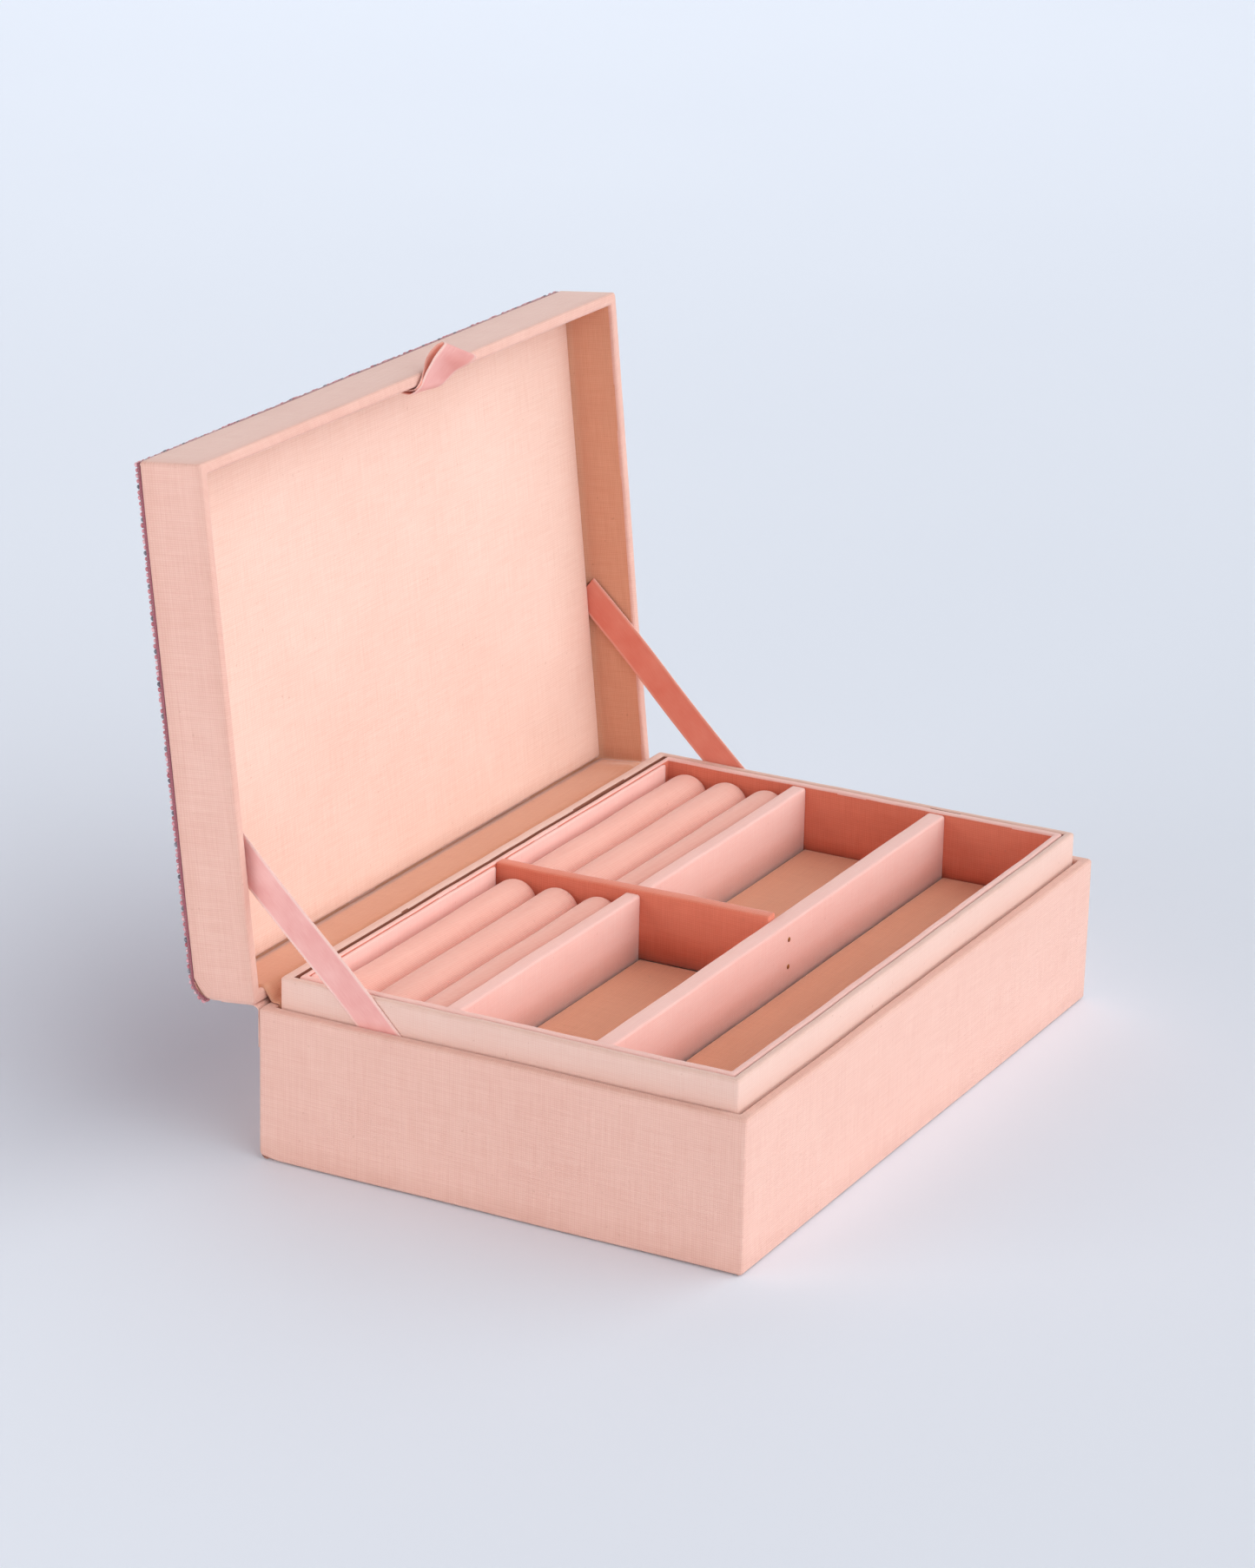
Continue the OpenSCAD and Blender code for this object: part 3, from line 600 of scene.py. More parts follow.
roll_nodes = [f"{side}_ring_roll_{n}" for side in ("left", "right") for n in (1, 2, 3)]
for number, node in enumerate(roll_nodes):
    low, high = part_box(node)
    half = (high.y - low.y) / 2
    middle = (high.y + low.y) / 2
    length = high.x - low.x
    tuck = 3.4 * MM
    inward = 0.25 * MM
    turns = [pi * k / 14 for k in range(15)]
    section = [(-half + 0.6 * MM, 0.0), (-half, 0.6 * MM), (-half, (high.z - half - low.z) / 2)]
    section += [(-half * cos(a), high.z - half - low.z + half * sin(a)) for a in turns]
    section += [(half, (high.z - half - low.z) / 2), (half, 0.6 * MM), (half - 0.6 * MM, 0.0)]
    centre_z = (high.z - low.z) * 0.45
    run = [(0.0, 0.05), (0.0, 0.45), (0.02, 0.72), (0.10, 0.86), (0.28, 0.945), (0.6, 0.985), (1.0, 1.0)]
    stops = [(tuck * t, s) for t, s in run]
    steps = 44
    stops += [(tuck + (length - 2 * tuck) * k / steps, 1.0) for k in range(1, steps)]
    stops += [(length - t, s) for t, s in reversed(stops[:len(run)])]
    rings = []
    for t, s in stops:
        ring = []
        for y, z in section:
            p = Vector((low.x + t, middle + y * s, low.z + centre_z + (z - centre_z) * s))
            top = max(0.0, (z - centre_z) / (high.z - low.z - centre_z))
            p.z += noise.noise(Vector((p.x / 0.03, number * 7.3, p.y / 0.02))) * 0.00035 * top
            p.y += noise.noise(Vector((p.x / 0.04, number * 3.1, 5.0))) * 0.00018 * top
            ring.append(p)
        rings.append(ring)
    roll = skin_over(node + "_cloth", rings, twill)
    # The foam pushes its cloth out a little between the tucks, and no point moves more than the cap
    was = [v.co.copy() for v in roll.data.vertices]
    hold = roll.vertex_groups.new(name="glued")
    hold.add([v.index for v in roll.data.vertices if v.co.z < low.z + 4 * MM], 1.0, "REPLACE")
    sim = roll.modifiers.new("foam", "CLOTH")
    sim.settings.quality = 4
    sim.settings.mass = 0.2
    sim.settings.tension_stiffness = 12
    sim.settings.compression_stiffness = 12
    sim.settings.bending_stiffness = 0.4
    sim.settings.use_pressure = True
    sim.settings.uniform_pressure_force = 4
    sim.settings.vertex_group_mass = "glued"
    sim.settings.effector_weights.gravity = 0
    sim.point_cache.frame_end = 12
    for frame_number in range(1, 13):
        bpy.context.scene.frame_set(frame_number)
    puffed = roll.evaluated_get(bpy.context.evaluated_depsgraph_get())
    cap = 0.30 * MM
    moved = []
    for v, start in zip(puffed.data.vertices, was):
        step = v.co - start
        if step.length > cap:
            step *= cap / step.length
        moved.append(start + step)
    roll.modifiers.remove(sim)
    roll.vertex_groups.remove(hold)
    bpy.context.scene.frame_set(1)
    for v, p in zip(roll.data.vertices, moved):
        v.co = p
    smooth = roll.modifiers.new("rounded", "SUBSURF")
    smooth.levels = smooth.render_levels = 1
    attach(roll, "tray")
    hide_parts(node)


# ---------------------------------------------------------------- Lid shell
# Four walls and a top board wrapped in the case's cloth, folded over the rim and up inside.
# The top's back edge is turned in a wide curve, so that the lid can fold back past the hinge.

hinge = next(j for j in frame["joints"] if j["name"] == "lid_hinge")
hinge_at = Vector(hinge["pos_m"])
opened = radians(hinge["range_deg"][1])


def in_lid(x, forward, up):
    """A point of the open lid: forward from the hinge line and up from the rim of the closed lid."""
    return Vector((x, hinge_at.y - forward * cos(opened) + up * sin(opened),
                   hinge_at.z + forward * sin(opened) + up * cos(opened)))


def lid_span(*nodes):
    """The lowest and highest (x, forward, up) of CAD nodes of the lid."""
    found = []
    for n in nodes:
        for v in frame["nodes"][n].data.vertices:
            y, z = v.co.y - hinge_at.y, v.co.z - hinge_at.z
            found.append((v.co.x, -y * cos(opened) + z * sin(opened), y * sin(opened) + z * cos(opened)))
    least = Vector([min(f[i] for f in found) for i in range(3)])
    return least, Vector([max(f[i] for f in found) for i in range(3)])


# The insides of the lid's walls and of the hinge wear a thinner tan-pink cloth; its deep colour is partly the
# cloth's own and partly painted shade, for the shade inside the open lid. Threads drawn at 0.5 mm.
strip_cloth_and_painted_shade = woven("thin_lining_cloth_tan_pink_and_painted_shade", "#eab495", "#d79478", "#b0705a", 0.5, relief=0.06)

lid_boards = ("lid_front_wall", "lid_back_wall", "lid_left_wall", "lid_right_wall", "lid_top_board")
low, high = lid_span(*lid_boards)
lid_wall = high.y - lid_span("lid_front_wall")[0].y
lid_in_top = lid_span("lid_top_board")[0].z
spine_r = 6 * MM
lid_out = outline(low.x, high.x, 0, high.y, 1.0 * MM, 46, 30)
lid_inn = outline(low.x + lid_wall, high.x - lid_wall, lid_wall, high.y - lid_wall, 0.5 * MM, 46, 30)
lid_mid = outline(low.x + 30 * MM, high.x - 30 * MM, 30 * MM, high.y - 30 * MM, 0.5 * MM, 46, 30)
rings, worn = [], []


def lid_ring(points, wear):
    """Adds one ring of the lid's skin from points (x, forward, up), and how rubbed it is."""
    rings.append([in_lid(p.x, p.y, p.z) + uneven(Vector((p.x, p.y, 0.3)), 0.05, 0.00035) for p in points])
    worn.append(wear)


for p in (lid_mid, lid_inn):
    lid_ring(at(p, p, 0, lid_in_top), 0.0)
for k in range(6):
    lid_ring(at(lid_inn, lid_inn, 0, lid_in_top - (lid_in_top - 1.2 * MM) * k / 5), 0.0)
for share, down in reversed(rim(lid_wall, 0.9 * MM)):
    lid_ring(at(lid_out, lid_inn, share, down), 0.22)
for k in range(1, 6):
    lid_ring(at(lid_out, lid_inn, 0, 1.2 * MM + (high.z - spine_r - 1.4 * MM) * k / 5), 0.0)
for k in range(9):
    turn = pi / 2 * k / 8
    ring = []
    for p in lid_out:
        back = max(0.0, 1 - p.y / spine_r)
        r = 0.8 * MM + (spine_r - 0.8 * MM) * back
        on_side = abs(p.x) > high.x - 1e-6 and back < 1
        inward = Vector((-1 if p.x > 0 else 1, 0, 0)) if on_side else Vector((0, 1 if back > 0 else -1, 0))
        ring.append(p + inward * r * (1 - cos(turn)) + Vector((0, 0, high.z - r + r * sin(turn))))
    lid_ring(ring, 0.3)
lid_ring(at(lid_mid, lid_mid, 0, high.z), 0.0)
lid = skin_over("lid_case_cloth", rings, [book_cloth, strip_cloth_and_painted_shade], caps=True, wear=worn)
# Inner wall faces take the tan-pink cloth, painted deeper as the shade inside the lid
for face in lid.data.polygons:
    along = face.center - in_lid(0, 0, 0)
    up_by = along.y * sin(opened) + along.z * cos(opened)
    forward = -along.y * cos(opened) + along.z * sin(opened)
    edge = lid_wall * 0.9
    in_painted_shade_area = abs(face.center.x) < high.x - edge and edge < forward < high.y - edge
    if in_painted_shade_area and MM < up_by < lid_in_top:
        face.material_index = 1
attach(lid, "lid")
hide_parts(*lid_boards)


# ---------------------------------------------------------------- Lid lining
# A card padded with a thin wadding and covered in pale linen-finish cloth, pressed into the lid.
# Its edges roll under, which leaves a dark seam all round, widest along the hinge.

# The lining is the palest cloth: fine flat linen, threads drawn at 0.6 mm.
lining_cloth = woven("fine_flat_linen_pale_peach", "#f9d9cb", "#e5b7a4", "#c9957e", 0.6, slub=0.45, relief=0.06)

low, high = lid_span("lid_lining_card")
lining = pad("lid_lining_padded", (low.x, high.x), (low.y, high.y), (high.z, low.z), 1.2 * MM, lining_cloth,
             in_lid, crown=0.35 * MM, wander=0.0003, size=0.035, nu=60, nv=40)
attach(lining, "lid")
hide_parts("lid_lining_card")
lining_face = low.z


# ---------------------------------------------------------------- Embroidered panel
# A cotton ground, worked all over by hand in chain stitch and beads, then glued over the lid's top
# and down its curved back edge. The design is a plain lattice with small flowers and a beaded border.

# The ground is a dusty rose cotton, rather coarse. Threads drawn at 0.8 mm.
ground = woven("coarse_cotton_ground_dusty_rose", "#b06f78", "#8d4c58", "#d9a7ab", 0.8, relief=0.15)


def yarn(name, light, deep, rough, coat=0.0):
    """A stitching thread or bead glass, mottled from stitch to stitch."""
    made, tree = blank(name)
    place = add(tree, "TexCoord").outputs["Object"]
    mottle = add(tree, "TexNoise", {"Vector": place, "Scale": 420.0, "Detail": 2.0}).outputs[0]
    tone = add(tree, "MapRange", {0: mottle, 1: 0.35, 2: 0.65}).outputs[0]
    shown = add(tree, "Mix", {0: tone, 6: linear(deep), 7: linear(light)}, data_type="RGBA").outputs[2]
    fine = add(tree, "TexNoise", {"Vector": place, "Scale": 3200.0, "Detail": 1.0}).outputs[0]
    bump = add(tree, "Bump", {"Strength": 0.3, "Distance": 0.00006, "Height": fine}).outputs[0]
    gloss = add(tree, "MapRange", {0: mottle, 3: rough, 4: rough + 0.15}).outputs[0]
    skin = add(tree, "BsdfPrincipled", {"Base Color": shown, "Roughness": gloss, "IOR": 1.5, "Normal": bump,
                                        "Coat Weight": coat, "Coat Roughness": 0.15})
    add(tree, "OutputMaterial", {0: skin.outputs[0]})
    return made


# Stranded rayon shines softly; the glass beads, pink and smoke grey, have small bright highlights.
rayon = yarn("stranded_rayon_rose", "#dd9aa0", "#b8626e", 0.45)
pink_glass = yarn("glass_beads_pink", "#f0c3c8", "#d98d98", 0.2, coat=0.6)
smoke_glass = yarn("glass_beads_smoke_grey", "#8d8a95", "#56525f", 0.2, coat=0.6)

low, high = lid_span("embroidered_panel")
panel_t = high.z - lid_span(*lid_boards)[1].z
# How far the stitches and beads stand above the cloth
relief = 0.75 * MM
panel_face = high.z - relief
bend_r = spine_r + panel_t - relief
drop = high.z - panel_t - spine_r / 2
edge_x = high.x - 0.3 * MM
# The way over the panel: along the back's curve, then forward over the top
curve_start = asin((drop - (panel_face - bend_r)) / bend_r)
curve_length = bend_r * (pi / 2 - curve_start)
flat_length = high.y - 0.3 * MM - spine_r
panel_length = curve_length + flat_length


def on_panel(x, run, lift=0.0):
    """A point on the panel: x across, run from its lower back edge forwards, lift above the cloth.
    It comes as (x, forward, up)."""
    if run < curve_length:
        turn = curve_start + run / bend_r
        return (x, spine_r - (bend_r + lift) * cos(turn), panel_face - bend_r + (bend_r + lift) * sin(turn))
    return (x, spine_r + run - curve_length, panel_face + lift)


rings = []
under = panel_t - relief - 0.02 * MM
runs = [curve_length * k / 8 for k in range(8)] + [curve_length + flat_length * k / 60 for k in range(61)]
for k in range(91):
    x = -edge_x + 2 * edge_x * k / 90
    puff = [0.12 * MM * noise.noise(Vector((x, run, 0)) / 0.006) for run in runs]
    over = [on_panel(x, run, puff[i]) for i, run in enumerate(runs)]
    below = [on_panel(x, run, -under) for run in reversed(runs)]
    rings.append([in_lid(*p) for p in over + below])
cover = skin_over("embroidered_ground_cloth", rings, ground, caps=True)
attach(cover, "lid")
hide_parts("embroidered_panel")


class Needlework:
    """Small rounded shapes gathered into one mesh, each with one of the thread materials."""

    def __init__(self):
        around, up = 6, 3
        self.points, self.faces, self.kinds = [], [], []
        self.ring = [(cos(2 * pi * k / around), sin(2 * pi * k / around)) for k in range(around)]
        self.tilt = [pi * (k + 1) / (up + 1) for k in range(up)]

    def grain(self, centre, long_way, wide_way, high_way, kind):
        """An ellipsoid from its centre and its three half axes."""
        first = len(self.points)
        n = len(self.ring)
        self.points.append(centre - long_way)
        for t in self.tilt:
            for c, s in self.ring:
                self.points.append(centre - long_way * cos(t) + (wide_way * c + high_way * s) * sin(t))
        self.points.append(centre + long_way)
        last = len(self.points) - 1
        for k in range(n):
            b = (k + 1) % n
            self.faces.append((first, first + 1 + b, first + 1 + k))
            for row in range(len(self.tilt) - 1):
                here, up = first + 1 + row * n, first + 1 + (row + 1) * n
                self.faces.append((here + k, here + b, up + b, up + k))
            top = last - n
            self.faces.append((top + k, top + b, last))
            self.kinds += [kind] * (len(self.tilt) + 1)


def frame_on_panel(x, run):
    """A place on the panel in the lid, with its sideways, forward and outward directions."""
    here = in_lid(*on_panel(x, run))
    out = (in_lid(*on_panel(x, run, MM)) - here).normalized()
    ahead = (in_lid(*on_panel(x, run + 0.1 * MM)) - here).normalized()
    return here, Vector((1, 0, 0)), ahead, out


stitches = Needlework()
draw = Random(7)
cell = 23 * MM
margin = 5.4 * MM


def in_design(x, run):
    """Whether a place on the panel is inside the border."""
    return abs(x) < edge_x - margin and margin < run < panel_length - margin


def link(x, run, turn, size, kind):
    """One link of chain stitch: two strands that part from a point."""
    here, side, ahead, out = frame_on_panel(x, run)
    along = ahead * cos(turn) + side * sin(turn)
    wide = along.cross(out)
    for way in (-1, 1):
        lean = (along + wide * 0.32 * way).normalized()
        stitches.grain(here + wide * size * 0.26 * way + out * 0.25 * MM, lean * size * 0.62,
                       lean.cross(out) * 0.36 * MM, out * (0.38 + 0.08 * draw.random()) * MM, kind)


def bead(x, run, size, kind):
    """One bead of that radius, sewn flat on the cloth."""
    here, side, ahead, out = frame_on_panel(x, run)
    stitches.grain(here + out * size * 0.55, out * size * 0.8, side * size, ahead * size, kind)


# Chains along both diagonals of the lattice, with enough lines to cover the panel
pitch = 2.5 * MM
for slope in (1, -1):
    for line in range(-16, 17):
        steps = int((panel_length + 2 * edge_x) * 1.42 / pitch)
        for k in range(steps):
            run = k * pitch / sqrt(2)
            x = slope * run + line * cell
            if in_design(x, run):
                link(x, run, slope * pi / 4, 1.5 * MM, 0)

# A flower of eight lazy-daisy petals round a ring of beads in each diamond, and a bead where the
# chains cross
for row in range(-2, 20):
    for column in range(-12, 13):
        x, run = column * cell / 2, row * cell / 2
        if not in_design(x, run):
            continue
        if (row + column) % 2:
            for petal in range(8):
                turn = 2 * pi * petal / 8 + 0.2
                px, prun = x + 2.9 * MM * sin(turn), run + 2.9 * MM * cos(turn)
                if in_design(px, prun):
                    link(px, prun, turn, 1.9 * MM, 0)
            bead(x, run, 1.15 * MM, 2)
            for petal in range(6):
                turn = 2 * pi * petal / 6
                bead(x + 1.45 * MM * sin(turn), run + 1.45 * MM * cos(turn), 0.5 * MM, 1)
        else:
            bead(x, run, 1.0 * MM, 1)

# Seed beads scattered over the ground
for _ in range(1500):
    x, run = draw.uniform(-edge_x, edge_x), draw.uniform(0, panel_length)
    if in_design(x, run):
        bead(x, run, draw.uniform(0.4, 0.6) * MM, draw.choice((0, 1, 1, 2)))

def border(inset):
    """The four sides of a border that far in from the edge, each as its two ends."""
    x0, x1, y0, y1 = -edge_x + inset, edge_x - inset, inset, panel_length - inset
    return ((x0, y0), (x1, y0)), ((x1, y0), (x1, y1)), ((x1, y1), (x0, y1)), ((x0, y1), (x0, y0))


# Two rows of beads, the outer one along the very edge, where it shows from the side
for inset, size, kinds in ((3.6 * MM, 0.62 * MM, (1, 1, 2)), (0.55 * MM, 0.74 * MM, (1, 0, 1, 0, 2, 0))):
    for a, b in border(inset):
        count = int(hypot(b[0] - a[0], b[1] - a[1]) / (size * 2.05))
        for k in range(count):
            jitter = 0.2 * MM * (draw.random() - 0.5)
            bead(a[0] + (b[0] - a[0]) * k / count, a[1] + (b[1] - a[1]) * k / count + jitter,
                 size * draw.uniform(0.85, 1.15), kinds[k % len(kinds)])

# And a row of chain stitch between them
for (a, b), turn in zip(border(2.1 * MM), (pi / 2, 0, -pi / 2, pi)):
    count = int(hypot(b[0] - a[0], b[1] - a[1]) / pitch)
    for k in range(count):
        link(a[0] + (b[0] - a[0]) * k / count, a[1] + (b[1] - a[1]) * k / count, turn, 1.6 * MM, 0)
worked = show("chain_stitch_and_beads", stitches.points, stitches.faces, [rayon, pink_glass, smoke_glass])
worked.data.polygons.foreach_set("material_index", stitches.kinds)
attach(worked, "lid")


# ---------------------------------------------------------------- Ribbon stays
# Two lengths of satin ribbon hold the lid open. Each is glued between the neck and the base's wall
# and between the lid's wall and its lining. Its selvedges are ribbed.

def satin(name, low, high, selvedge, gloss_low, gloss_high):
    """Satin ribbon with its floats along U: a soft streak of light, cloudy pools and ribbed selvedges."""
    made, tree = blank(name)
    place = add(tree, "UVMap", uv_map="cloth").outputs[0]
    floats = add(tree, "VectorMath", {0: place, 1: (4500, 260, 1)}, operation="MULTIPLY").outputs[0]
    fine = add(tree, "TexNoise", {"Vector": floats, "Scale": 1.0, "Detail": 2.0}).outputs[0]
    pools = add(tree, "TexNoise", {"Vector": place, "Scale": 90.0, "Detail": 2.0}).outputs[0]
    edge = add(tree, "Attribute", attribute_name="wear").outputs["Fac"]
    tone = add(tree, "Math", {0: fine, 1: 0.5, 2: pools}, operation="MULTIPLY_ADD").outputs[0]
    tone = add(tree, "MapRange", {0: tone, 1: 0.45, 2: 1.05}).outputs[0]
    dyed = add(tree, "Mix", {0: tone, 6: linear(low), 7: linear(high)}, data_type="RGBA").outputs[2]
    shown = add(tree, "Mix", {0: edge, 6: dyed, 7: linear(selvedge)}, data_type="RGBA").outputs[2]
    ribs = add(tree, "SeparateXYZ", {0: place}).outputs[1]
    turn = add(tree, "Math", {0: ribs, 1: 2 * pi / (0.7 * MM)}, operation="MULTIPLY").outputs[0]
    rib = add(tree, "Math", {0: turn}, operation="SINE").outputs[0]
    rib = add(tree, "Math", {0: rib, 1: edge}, operation="MULTIPLY").outputs[0]
    height = add(tree, "Math", {0: fine, 1: 0.4, 2: rib}, operation="MULTIPLY_ADD").outputs[0]
    bump = add(tree, "Bump", {"Strength": 0.5, "Distance": 0.00006, "Height": height}).outputs[0]
    gloss = add(tree, "MapRange", {0: edge, 3: gloss_low, 4: gloss_high}).outputs[0]
    skin = add(tree, "BsdfPrincipled", {
        "Base Color": shown, "Roughness": gloss, "IOR": 1.5, "Specular IOR Level": 0.5, "Normal": bump,
        "Anisotropic": 0.6, "Sheen Weight": 0.3, "Sheen Roughness": 0.3, "Sheen Tint": linear("#f8d6d2")})
    add(tree, "OutputMaterial", {0: skin.outputs[0]})
    return made


# The right side of polyester satin, rose pink with a pale ribbed selvedge, bright where it bends.
satin_face = satin("polyester_satin_ribbon_rose", "#ea9f9a", "#f9c3bc", "#f8cfc6", 0.34, 0.7)

# Its wrong side has no floats to catch the light, so it is duller; its deeper coral is painted shade, for the
# shaded inner faces of the right stay and of the tab's loop.
satin_back_painted_shade = satin("polyester_satin_wrong_side_painted_shade_coral", "#e98571", "#f2a08c", "#f4b1a0", 0.62, 0.75)


def ribbon(name, centres, sides, faces_out, width, thick):
    """A flat ribbon through centres, with its width along sides and its face along faces_out. Its
    selvedges carry small ribs that stand out by a tenth of a millimetre."""
    shares = (-1.0, -0.97, -0.9, -0.8, -0.4, 0.0, 0.4, 0.8, 0.9, 0.97, 1.0)
    low_half = [0.5 if abs(s) < 0.99 else 0.2 for s in shares]
    high_half = [h * (1.25 if 0.75 < abs(s) < 0.99 else 1) for h, s in zip(low_half, shares)]
    rings = []
    for k, (c, w, n) in enumerate(zip(centres, sides, faces_out)):
        tooth = 0.12 * MM * (1 if k % 2 else -0.4)
        reach = [width / 2 * s + (tooth if s > 0.99 else -tooth if s < -0.99 else 0) for s in shares]
        upper = [c + w * r + n * thick * h for r, h in zip(reach, high_half)]
        lower = [c + w * width / 2 * s - n * thick * h for s, h in zip(shares, low_half)][::-1]
        rings.append(upper + lower)
    made = skin_over(name, rings, [satin_face, satin_back_painted_shade], caps=True)
    around = shares + shares[::-1]
    marks = [1.0 if abs(s) > 0.86 else 0.0 for _ in rings for s in around]
    made.data.attributes.new("wear", "FLOAT", "POINT").data.foreach_set("value", marks)
    # The wrong side, away from faces_out, is painted a shaded coral
    for face in made.data.polygons:
        face.material_index = 1 if len(shares) <= face.index % len(around) < len(around) - 1 else 0
    return made


ribbon_w = 10 * MM
lid_origin = in_lid(0, 0, 0)
lid_up = (in_lid(0, 0, 1) - lid_origin).normalized()

for side, node in ((-1, "left_ribbon_stay"), (1, "right_ribbon_stay")):
    low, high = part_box(node)
    corners = sorted((v.co.copy() for v in frame["nodes"][node].data.vertices), key=lambda c: c.z)
    foot_z = corners[0].z
    plane_x = (low.x + high.x) / 2
    thick = high.x - low.x
    ends = [c for c in corners if c.z < foot_z + 0.01 * MM]
    foot_y = (min(c.y for c in ends) + max(c.y for c in ends)) / 2
    tops = [c for c in corners if (c - lid_origin).dot(lid_up) > 15 * MM]
    head_y = sum(c.y for c in tops) / len(tops)
    head_z = sum(c.z for c in tops) / len(tops)
    start, end = Vector((plane_x, foot_y, foot_z)), Vector((plane_x, head_y, head_z))
    way = (end - start).normalized()
    width_way = Vector((0, -way.z, way.y))
    steps = 210
    centres = []
    for k in range(steps + 1):
        t = k / steps
        p = start.lerp(end, t)
        free = sin(pi * (t - 0.2) / 0.62) if 0.2 < t < 0.82 else 0.0
        p.x += side * 0.00003 * sin(t * 19) * free
        centres.append(p + width_way * 0.00025 * sin(t * 9 + side))
    count = len(centres)
    outs = [Vector((side, 0, 0))] * count
    stay = ribbon(node + "_satin", centres, [width_way] * count, outs, ribbon_w, thick)
    # Its ends are cut level with the base below and with the lid's board above, not square, and
    # the upper one stops just short of the board, whose face is not quite true
    top_up = max((c - lid_origin).dot(lid_up) for c in corners) - 0.3 * MM
    for v in stay.data.vertices:
        below = foot_z - v.co.z
        above = (v.co - lid_origin).dot(lid_up) - top_up
        if below > 0:
            v.co += way * (below / way.z)
        if above > 0:
            v.co -= way * (above / way.dot(lid_up))
    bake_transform(stay)
    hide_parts(node)


# ---------------------------------------------------------------- Pull tab
# A short loop of the same ribbon, its two ends glued between the lid's front wall and the lining.
# It comes out over the rim, twists to the right and folds back on itself.

root = lid_span("lid_front_wall")[0].y
# Where the middle of the ribbon passes (x, forward and up, in mm) and the way its width points
marks = (
    ((-0.3, -1.2, 9.0), (1, 0, 0)),
    ((-0.3, -1.4, 4.5), (1, 0, 0)),
    ((0.3, -1.9, 0.7), (0.97, 0.0, -0.22)),
    ((1.8, -0.7, -1.3), (0.97, -0.12, -0.18)),
    ((3.2, 1.9, -2.8), (0.92, -0.36, -0.18)),
    ((4.9, 5.0, -5.0), (0.82, -0.50, -0.28)),
    ((6.3, 7.4, -7.9), (0.58, -0.56, -0.58)),
    ((7.0, 8.8, -9.1), (0.42, -0.46, -0.78)),
    ((7.0, 9.2, -8.4), (0.42, -0.46, -0.78)),
    ((6.4, 7.9, -6.0), (0.50, -0.50, -0.70)),
    ((5.3, 5.2, -3.4), (0.70, -0.45, -0.54)),
    ((3.6, 2.4, -1.9), (0.92, -0.28, -0.20)),
    ((1.0, 0.4, -0.95), (0.99, -0.08, -0.02)),
    ((0.2, -0.75, 0.8), (1, 0, 0)),
    ((0.0, -0.65, 9.0), (1, 0, 0)),
)
shares = [0.0]
for (a, _), (b, _) in zip(marks, marks[1:]):
    shares.append(shares[-1] + (Vector(b) - Vector(a)).length)


def between(run):
    """The middle and the width's direction of the tab after that many millimetres of ribbon."""
    k = max(i for i in range(len(marks) - 1) if shares[i] <= run)
    near = [min(max(i, 0), len(marks) - 1) for i in (k - 1, k, k + 1, k + 2)]
    gap = shares[k + 1] - shares[k]
    t = (run - shares[k]) / gap
    found = []
    for part in (0, 1):
        a, b, c, d = (Vector(marks[i][part]) for i in near)
        m1 = (c - a) * gap / (shares[near[2]] - shares[near[0]])
        m2 = (d - b) * gap / (shares[near[3]] - shares[near[1]])
        found.append(b * (2 * t ** 3 - 3 * t ** 2 + 1) + m1 * (t ** 3 - 2 * t ** 2 + t) +
                     c * (3 * t ** 2 - 2 * t ** 3) + m2 * (t ** 3 - t ** 2))
    return found


steps = 120
centres, widths = [], []
for k in range(steps + 1):
    middle, wide = between(shares[-1] * min(k / steps, 0.9999))
    centres.append(in_lid(middle.x * MM, root + middle.y * MM, middle.z * MM))
    widths.append((in_lid(wide.x, wide.y, wide.z) - lid_origin).normalized())
length = sum((b - a).length for a, b in zip(centres, centres[1:]))
outs = []
for k, w in enumerate(widths):
    along = centres[min(k + 1, steps)] - centres[max(k - 1, 0)]
    outs.append(w.cross(along).normalized())
tab = ribbon("pull_tab_satin", centres, widths, outs, ribbon_w, 0.3 * MM)
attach(tab, "lid")
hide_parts("pull_tab")
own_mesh(tab)


# ---------------------------------------------------------------- Hinge cloth and its lining strip
# The hinge is only cloth: a strip of book cloth outside, glued up the base's back and under the open
# lid's back, and a lining strip inside, from behind the neck over the rim and up the lid's back wall.

def cloth_strip(name, path, half_x, thick, cloth, columns, wander):
    """A strip of cloth of one section (points in y and z) along X, lifted by small wrinkles."""
    rings = []
    for k in range(columns + 1):
        x = -half_x + 2 * half_x * k / columns
        ring = []
        for side in (1, -1):
            row = path if side == 1 else list(reversed(path))
            for i, (y, z) in enumerate(row):
                j = i if side == 1 else len(row) - 1 - i
                before, after = path[max(j - 1, 0)], path[min(j + 1, len(path) - 1)]
                along = Vector((0, after[0] - before[0], after[1] - before[1])).normalized()
                out = Vector((0, -along.z, along.y))
                lift = wander(x, j / (len(path) - 1))
                ring.append(Vector((x, y, z)) + out * (thick / 2 * side + lift))
        rings.append(ring)
    return skin_over(name, rings, cloth, caps=True)


def rounded_path(points, r, steps=5):
    """Points in y and z along a bent line, its corners rounded to r, with stops every few millimetres."""
    found = [Vector(points[0])]
    for a, b, c in zip(points, points[1:], points[2:]):
        a, b, c = Vector(a), Vector(b), Vector(c)
        into, away = (a - b).normalized(), (c - b).normalized()
        reach = min(r, (a - b).length * 0.45, (c - b).length * 0.45)
        p, q = b + into * reach, b + away * reach
        for k in range(steps + 1):
            t = k / steps
            found.append(p.lerp(b, t).lerp(b.lerp(q, t), t))
    found.append(Vector(points[-1]))
    dense = [found[0]]
    for a, b in zip(found, found[1:]):
        parts = max(1, int((b - a).length / (2 * MM)))
        dense += [a.lerp(b, k / parts) for k in range(1, parts + 1)]
    return [(p.x, p.y) for p in dense]


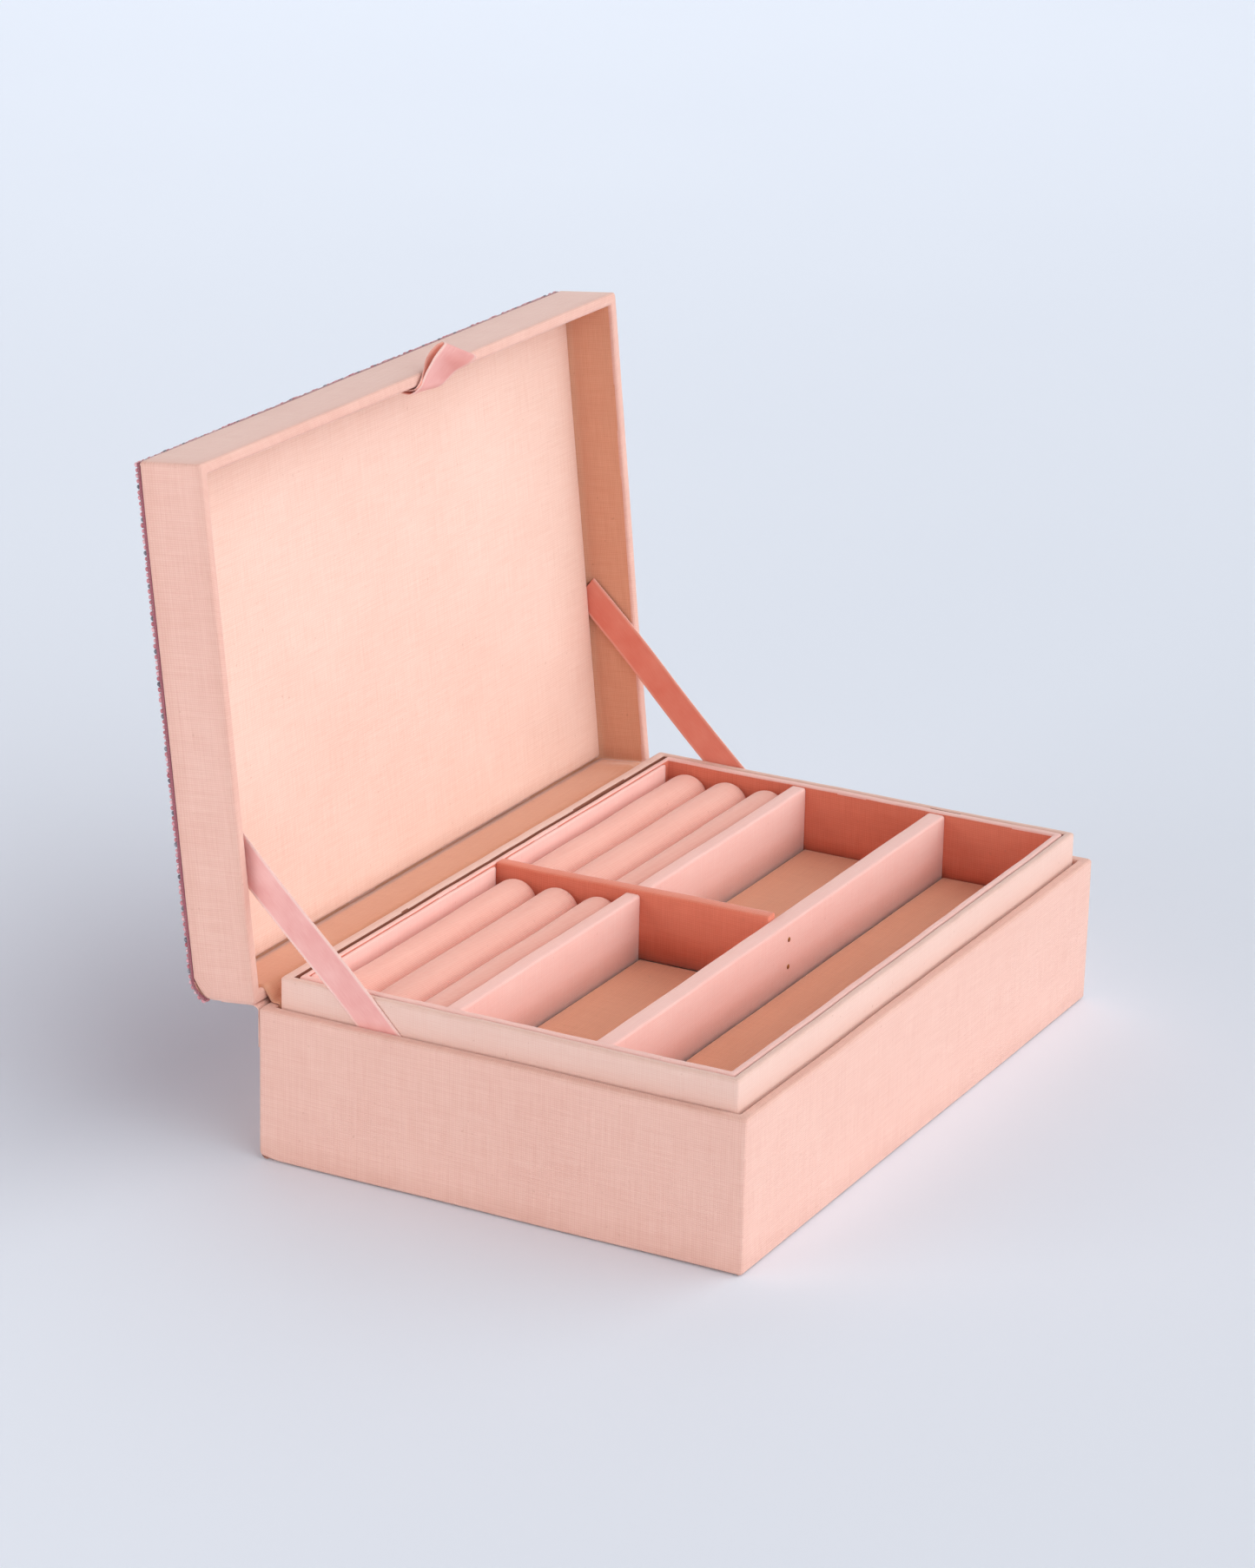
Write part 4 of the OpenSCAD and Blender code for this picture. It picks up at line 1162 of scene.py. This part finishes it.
low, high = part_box("hinge_cloth")
cloth_t = 0.4 * MM
gap = 0.27 * MM
back_y = low.y + cloth_t / 2
lid_leg = [in_lid(0, -gap, up_by) for up_by in (1.0 * MM, 12 * MM)]
path = rounded_path([(back_y, low.z), (back_y, hinge_at.z - 1.4 * MM),
                     (hinge_at.y + 0.45 * MM, hinge_at.z - 0.75 * MM),
                     (lid_leg[0].y + 0.6 * MM, lid_leg[0].z), (lid_leg[1].y, lid_leg[1].z)], 1.2 * MM)
strip = cloth_strip("hinge_cloth_outside", path, high.x, cloth_t, book_cloth, 90,
                    lambda x, t: 0.12 * MM * noise.noise(Vector((x / 0.012, t * 3, 1))) * sin(pi * t))
middle = Vector((0, hinge_at.y, hinge_at.z))
across = Vector((0, 1, 1)).normalized() * 1.2 * MM
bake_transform(strip)
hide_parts("hinge_cloth")

# The lining strip is a thinner cloth of tan pink, its colour partly painted shade, with a wrinkle at its right
# end.
low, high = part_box("hinge_lining_strip")
slot_y = low.y + cloth_t / 2
rim_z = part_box("base_back_wall")[1].z + 0.35 * MM
inner_f = lid_wall + 0.3 * MM
foot, top = in_lid(0, inner_f, 0.2 * MM), in_lid(0, inner_f, lining_face - 0.1 * MM)
path = rounded_path([(slot_y, low.z), (slot_y, rim_z - 0.1 * MM), (slot_y + 0.8 * MM, rim_z + 0.1 * MM),
                     (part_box("base_back_wall")[1].y - 1.4 * MM, rim_z + 0.1 * MM),
                     (foot.y, foot.z), (top.y, top.z)], 1.4 * MM)
fold_x = high.x - 12.15 * MM


def wrinkle(x, t):
    """Small waves along the strip, and one fold near its right end, on the lid's side of the hinge."""
    wave = 0.22 * MM * noise.noise(Vector((x / 0.018, t * 2.5, 4))) * sin(pi * t)
    near = max(0.0, 1 - abs(x - fold_x - 0.006 * t) / 0.007)
    fold = 1.3 * MM * near ** 2 * sin(pi * max(0.0, (t - 0.45) / 0.55))
    return max(wave, -0.1 * MM) + fold


strip = cloth_strip("hinge_lining_inside", path, high.x, cloth_t, strip_cloth_and_painted_shade, 150, wrinkle)
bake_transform(strip)
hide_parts("hinge_lining_strip")


# ---------------------------------------------------------------- Table, light and camera
# A matt white table top, lit by broad daylight from the front right, a softer lamp at the back left
# and one over the table's far end, in a pale blue-white room.

# White painted board: nearly even, very slightly cloudy and a little cool.
table_paint, tree = blank("matt_white_painted_board")
place = add(tree, "TexCoord").outputs["Object"]
clouds = add(tree, "TexNoise", {"Vector": place, "Scale": 2.2, "Detail": 3.0}).outputs[0]
paint = add(tree, "Mix", {0: clouds, 6: linear("#ebf1fc"), 7: linear("#eff5ff")}, data_type="RGBA").outputs[2]
skin = add(tree, "BsdfPrincipled", {
    "Base Color": paint, "Roughness": 0.7, "IOR": 1.45, "Specular IOR Level": 0.2})
add(tree, "OutputMaterial", {0: skin.outputs[0]})
reach = 6.0
squares = 8
row = squares + 1
stops = [-reach + 2 * reach * k / squares for k in range(row)]
points = [(x, y, 0) for y in stops for x in stops]
corners = [j * row + i for j in range(squares) for i in range(squares)]
faces = [(c, c + 1, c + row + 1, c + row) for c in corners]
table = show("table_top", points, faces, table_paint)

# The room is brighter near the table than overhead
world = bpy.data.worlds.new("pale_room")
world.use_nodes = True
tree = world.node_tree
tree.nodes.clear()
heading = add(tree, "SeparateXYZ", {0: add(tree, "TexCoord").outputs["Generated"]}).outputs[2]
rise = add(tree, "MapRange", {0: heading, 1: 0.0, 2: 0.75, 3: 0.88, 4: 0.05}).outputs[0]
air = add(tree, "Background", {"Color": linear("#f6f9ff"), "Strength": rise})
add(tree, "OutputWorld", {0: air.outputs[0]})
bpy.context.scene.world = world


def daylight(name, come_from, spread, strength, colour):
    """A broad, distant light from one direction, as soft as its spread in degrees."""
    data = bpy.data.lights.new(name, "SUN")
    data.angle = radians(spread)
    data.energy = strength
    data.color = linear(colour)[:3]
    made = bpy.data.objects.new(name, data)
    made.rotation_euler = Vector(come_from).to_track_quat("Z", "Y").to_euler()
    bpy.context.scene.collection.objects.link(made)


daylight("window_front_right", (0.26, -0.87, 0.35), 118, 3.35, "#fffefd")


def lamp(name, at_point, towards, size, power, colour):
    """A square lamp box, out of sight of the camera."""
    data = bpy.data.lights.new(name, "AREA")
    data.size = size
    data.energy = power
    data.color = linear(colour)[:3]
    made = bpy.data.objects.new(name, data)
    made.location = at_point
    made.rotation_euler = (Vector(at_point) - Vector(towards)).to_track_quat("Z", "Y").to_euler()
    made.visible_camera = False
    bpy.context.scene.collection.objects.link(made)


lamp("fill_back_left", (-1.26, 0.84, 0.34), (-0.16, 0.06, 0.0), 1.0, 10.2, "#fff8f4")
lamp("lamp_over_far_end", (1.7, 1.1, 1.5), (1.6, 1.0, 0), 2.0, 12.0, "#f2f8ff")

camera = bpy.data.objects.new("camera", bpy.data.cameras.new("camera"))
camera.data.sensor_fit = "VERTICAL"
camera.data.sensor_height = 36
camera.data.lens = 110.4
camera.data.clip_end = 30
azimuth, elevation, roll_by = radians(-62.21), radians(19.47), radians(1.35)
right = Vector((cos(azimuth), sin(azimuth), 0))
back = Vector((sin(azimuth) * cos(elevation), -cos(azimuth) * cos(elevation), sin(elevation)))
up = back.cross(right)
across = right * cos(roll_by) + up * sin(roll_by)
upward = back.cross(across)
camera.matrix_world = Matrix((across, upward, back)).transposed().to_4x4()
camera.location = (-1.1495, -0.5830, 0.5446)
bpy.context.scene.collection.objects.link(camera)
bpy.context.scene.camera = camera
bpy.context.scene.view_settings.view_transform = "Standard"
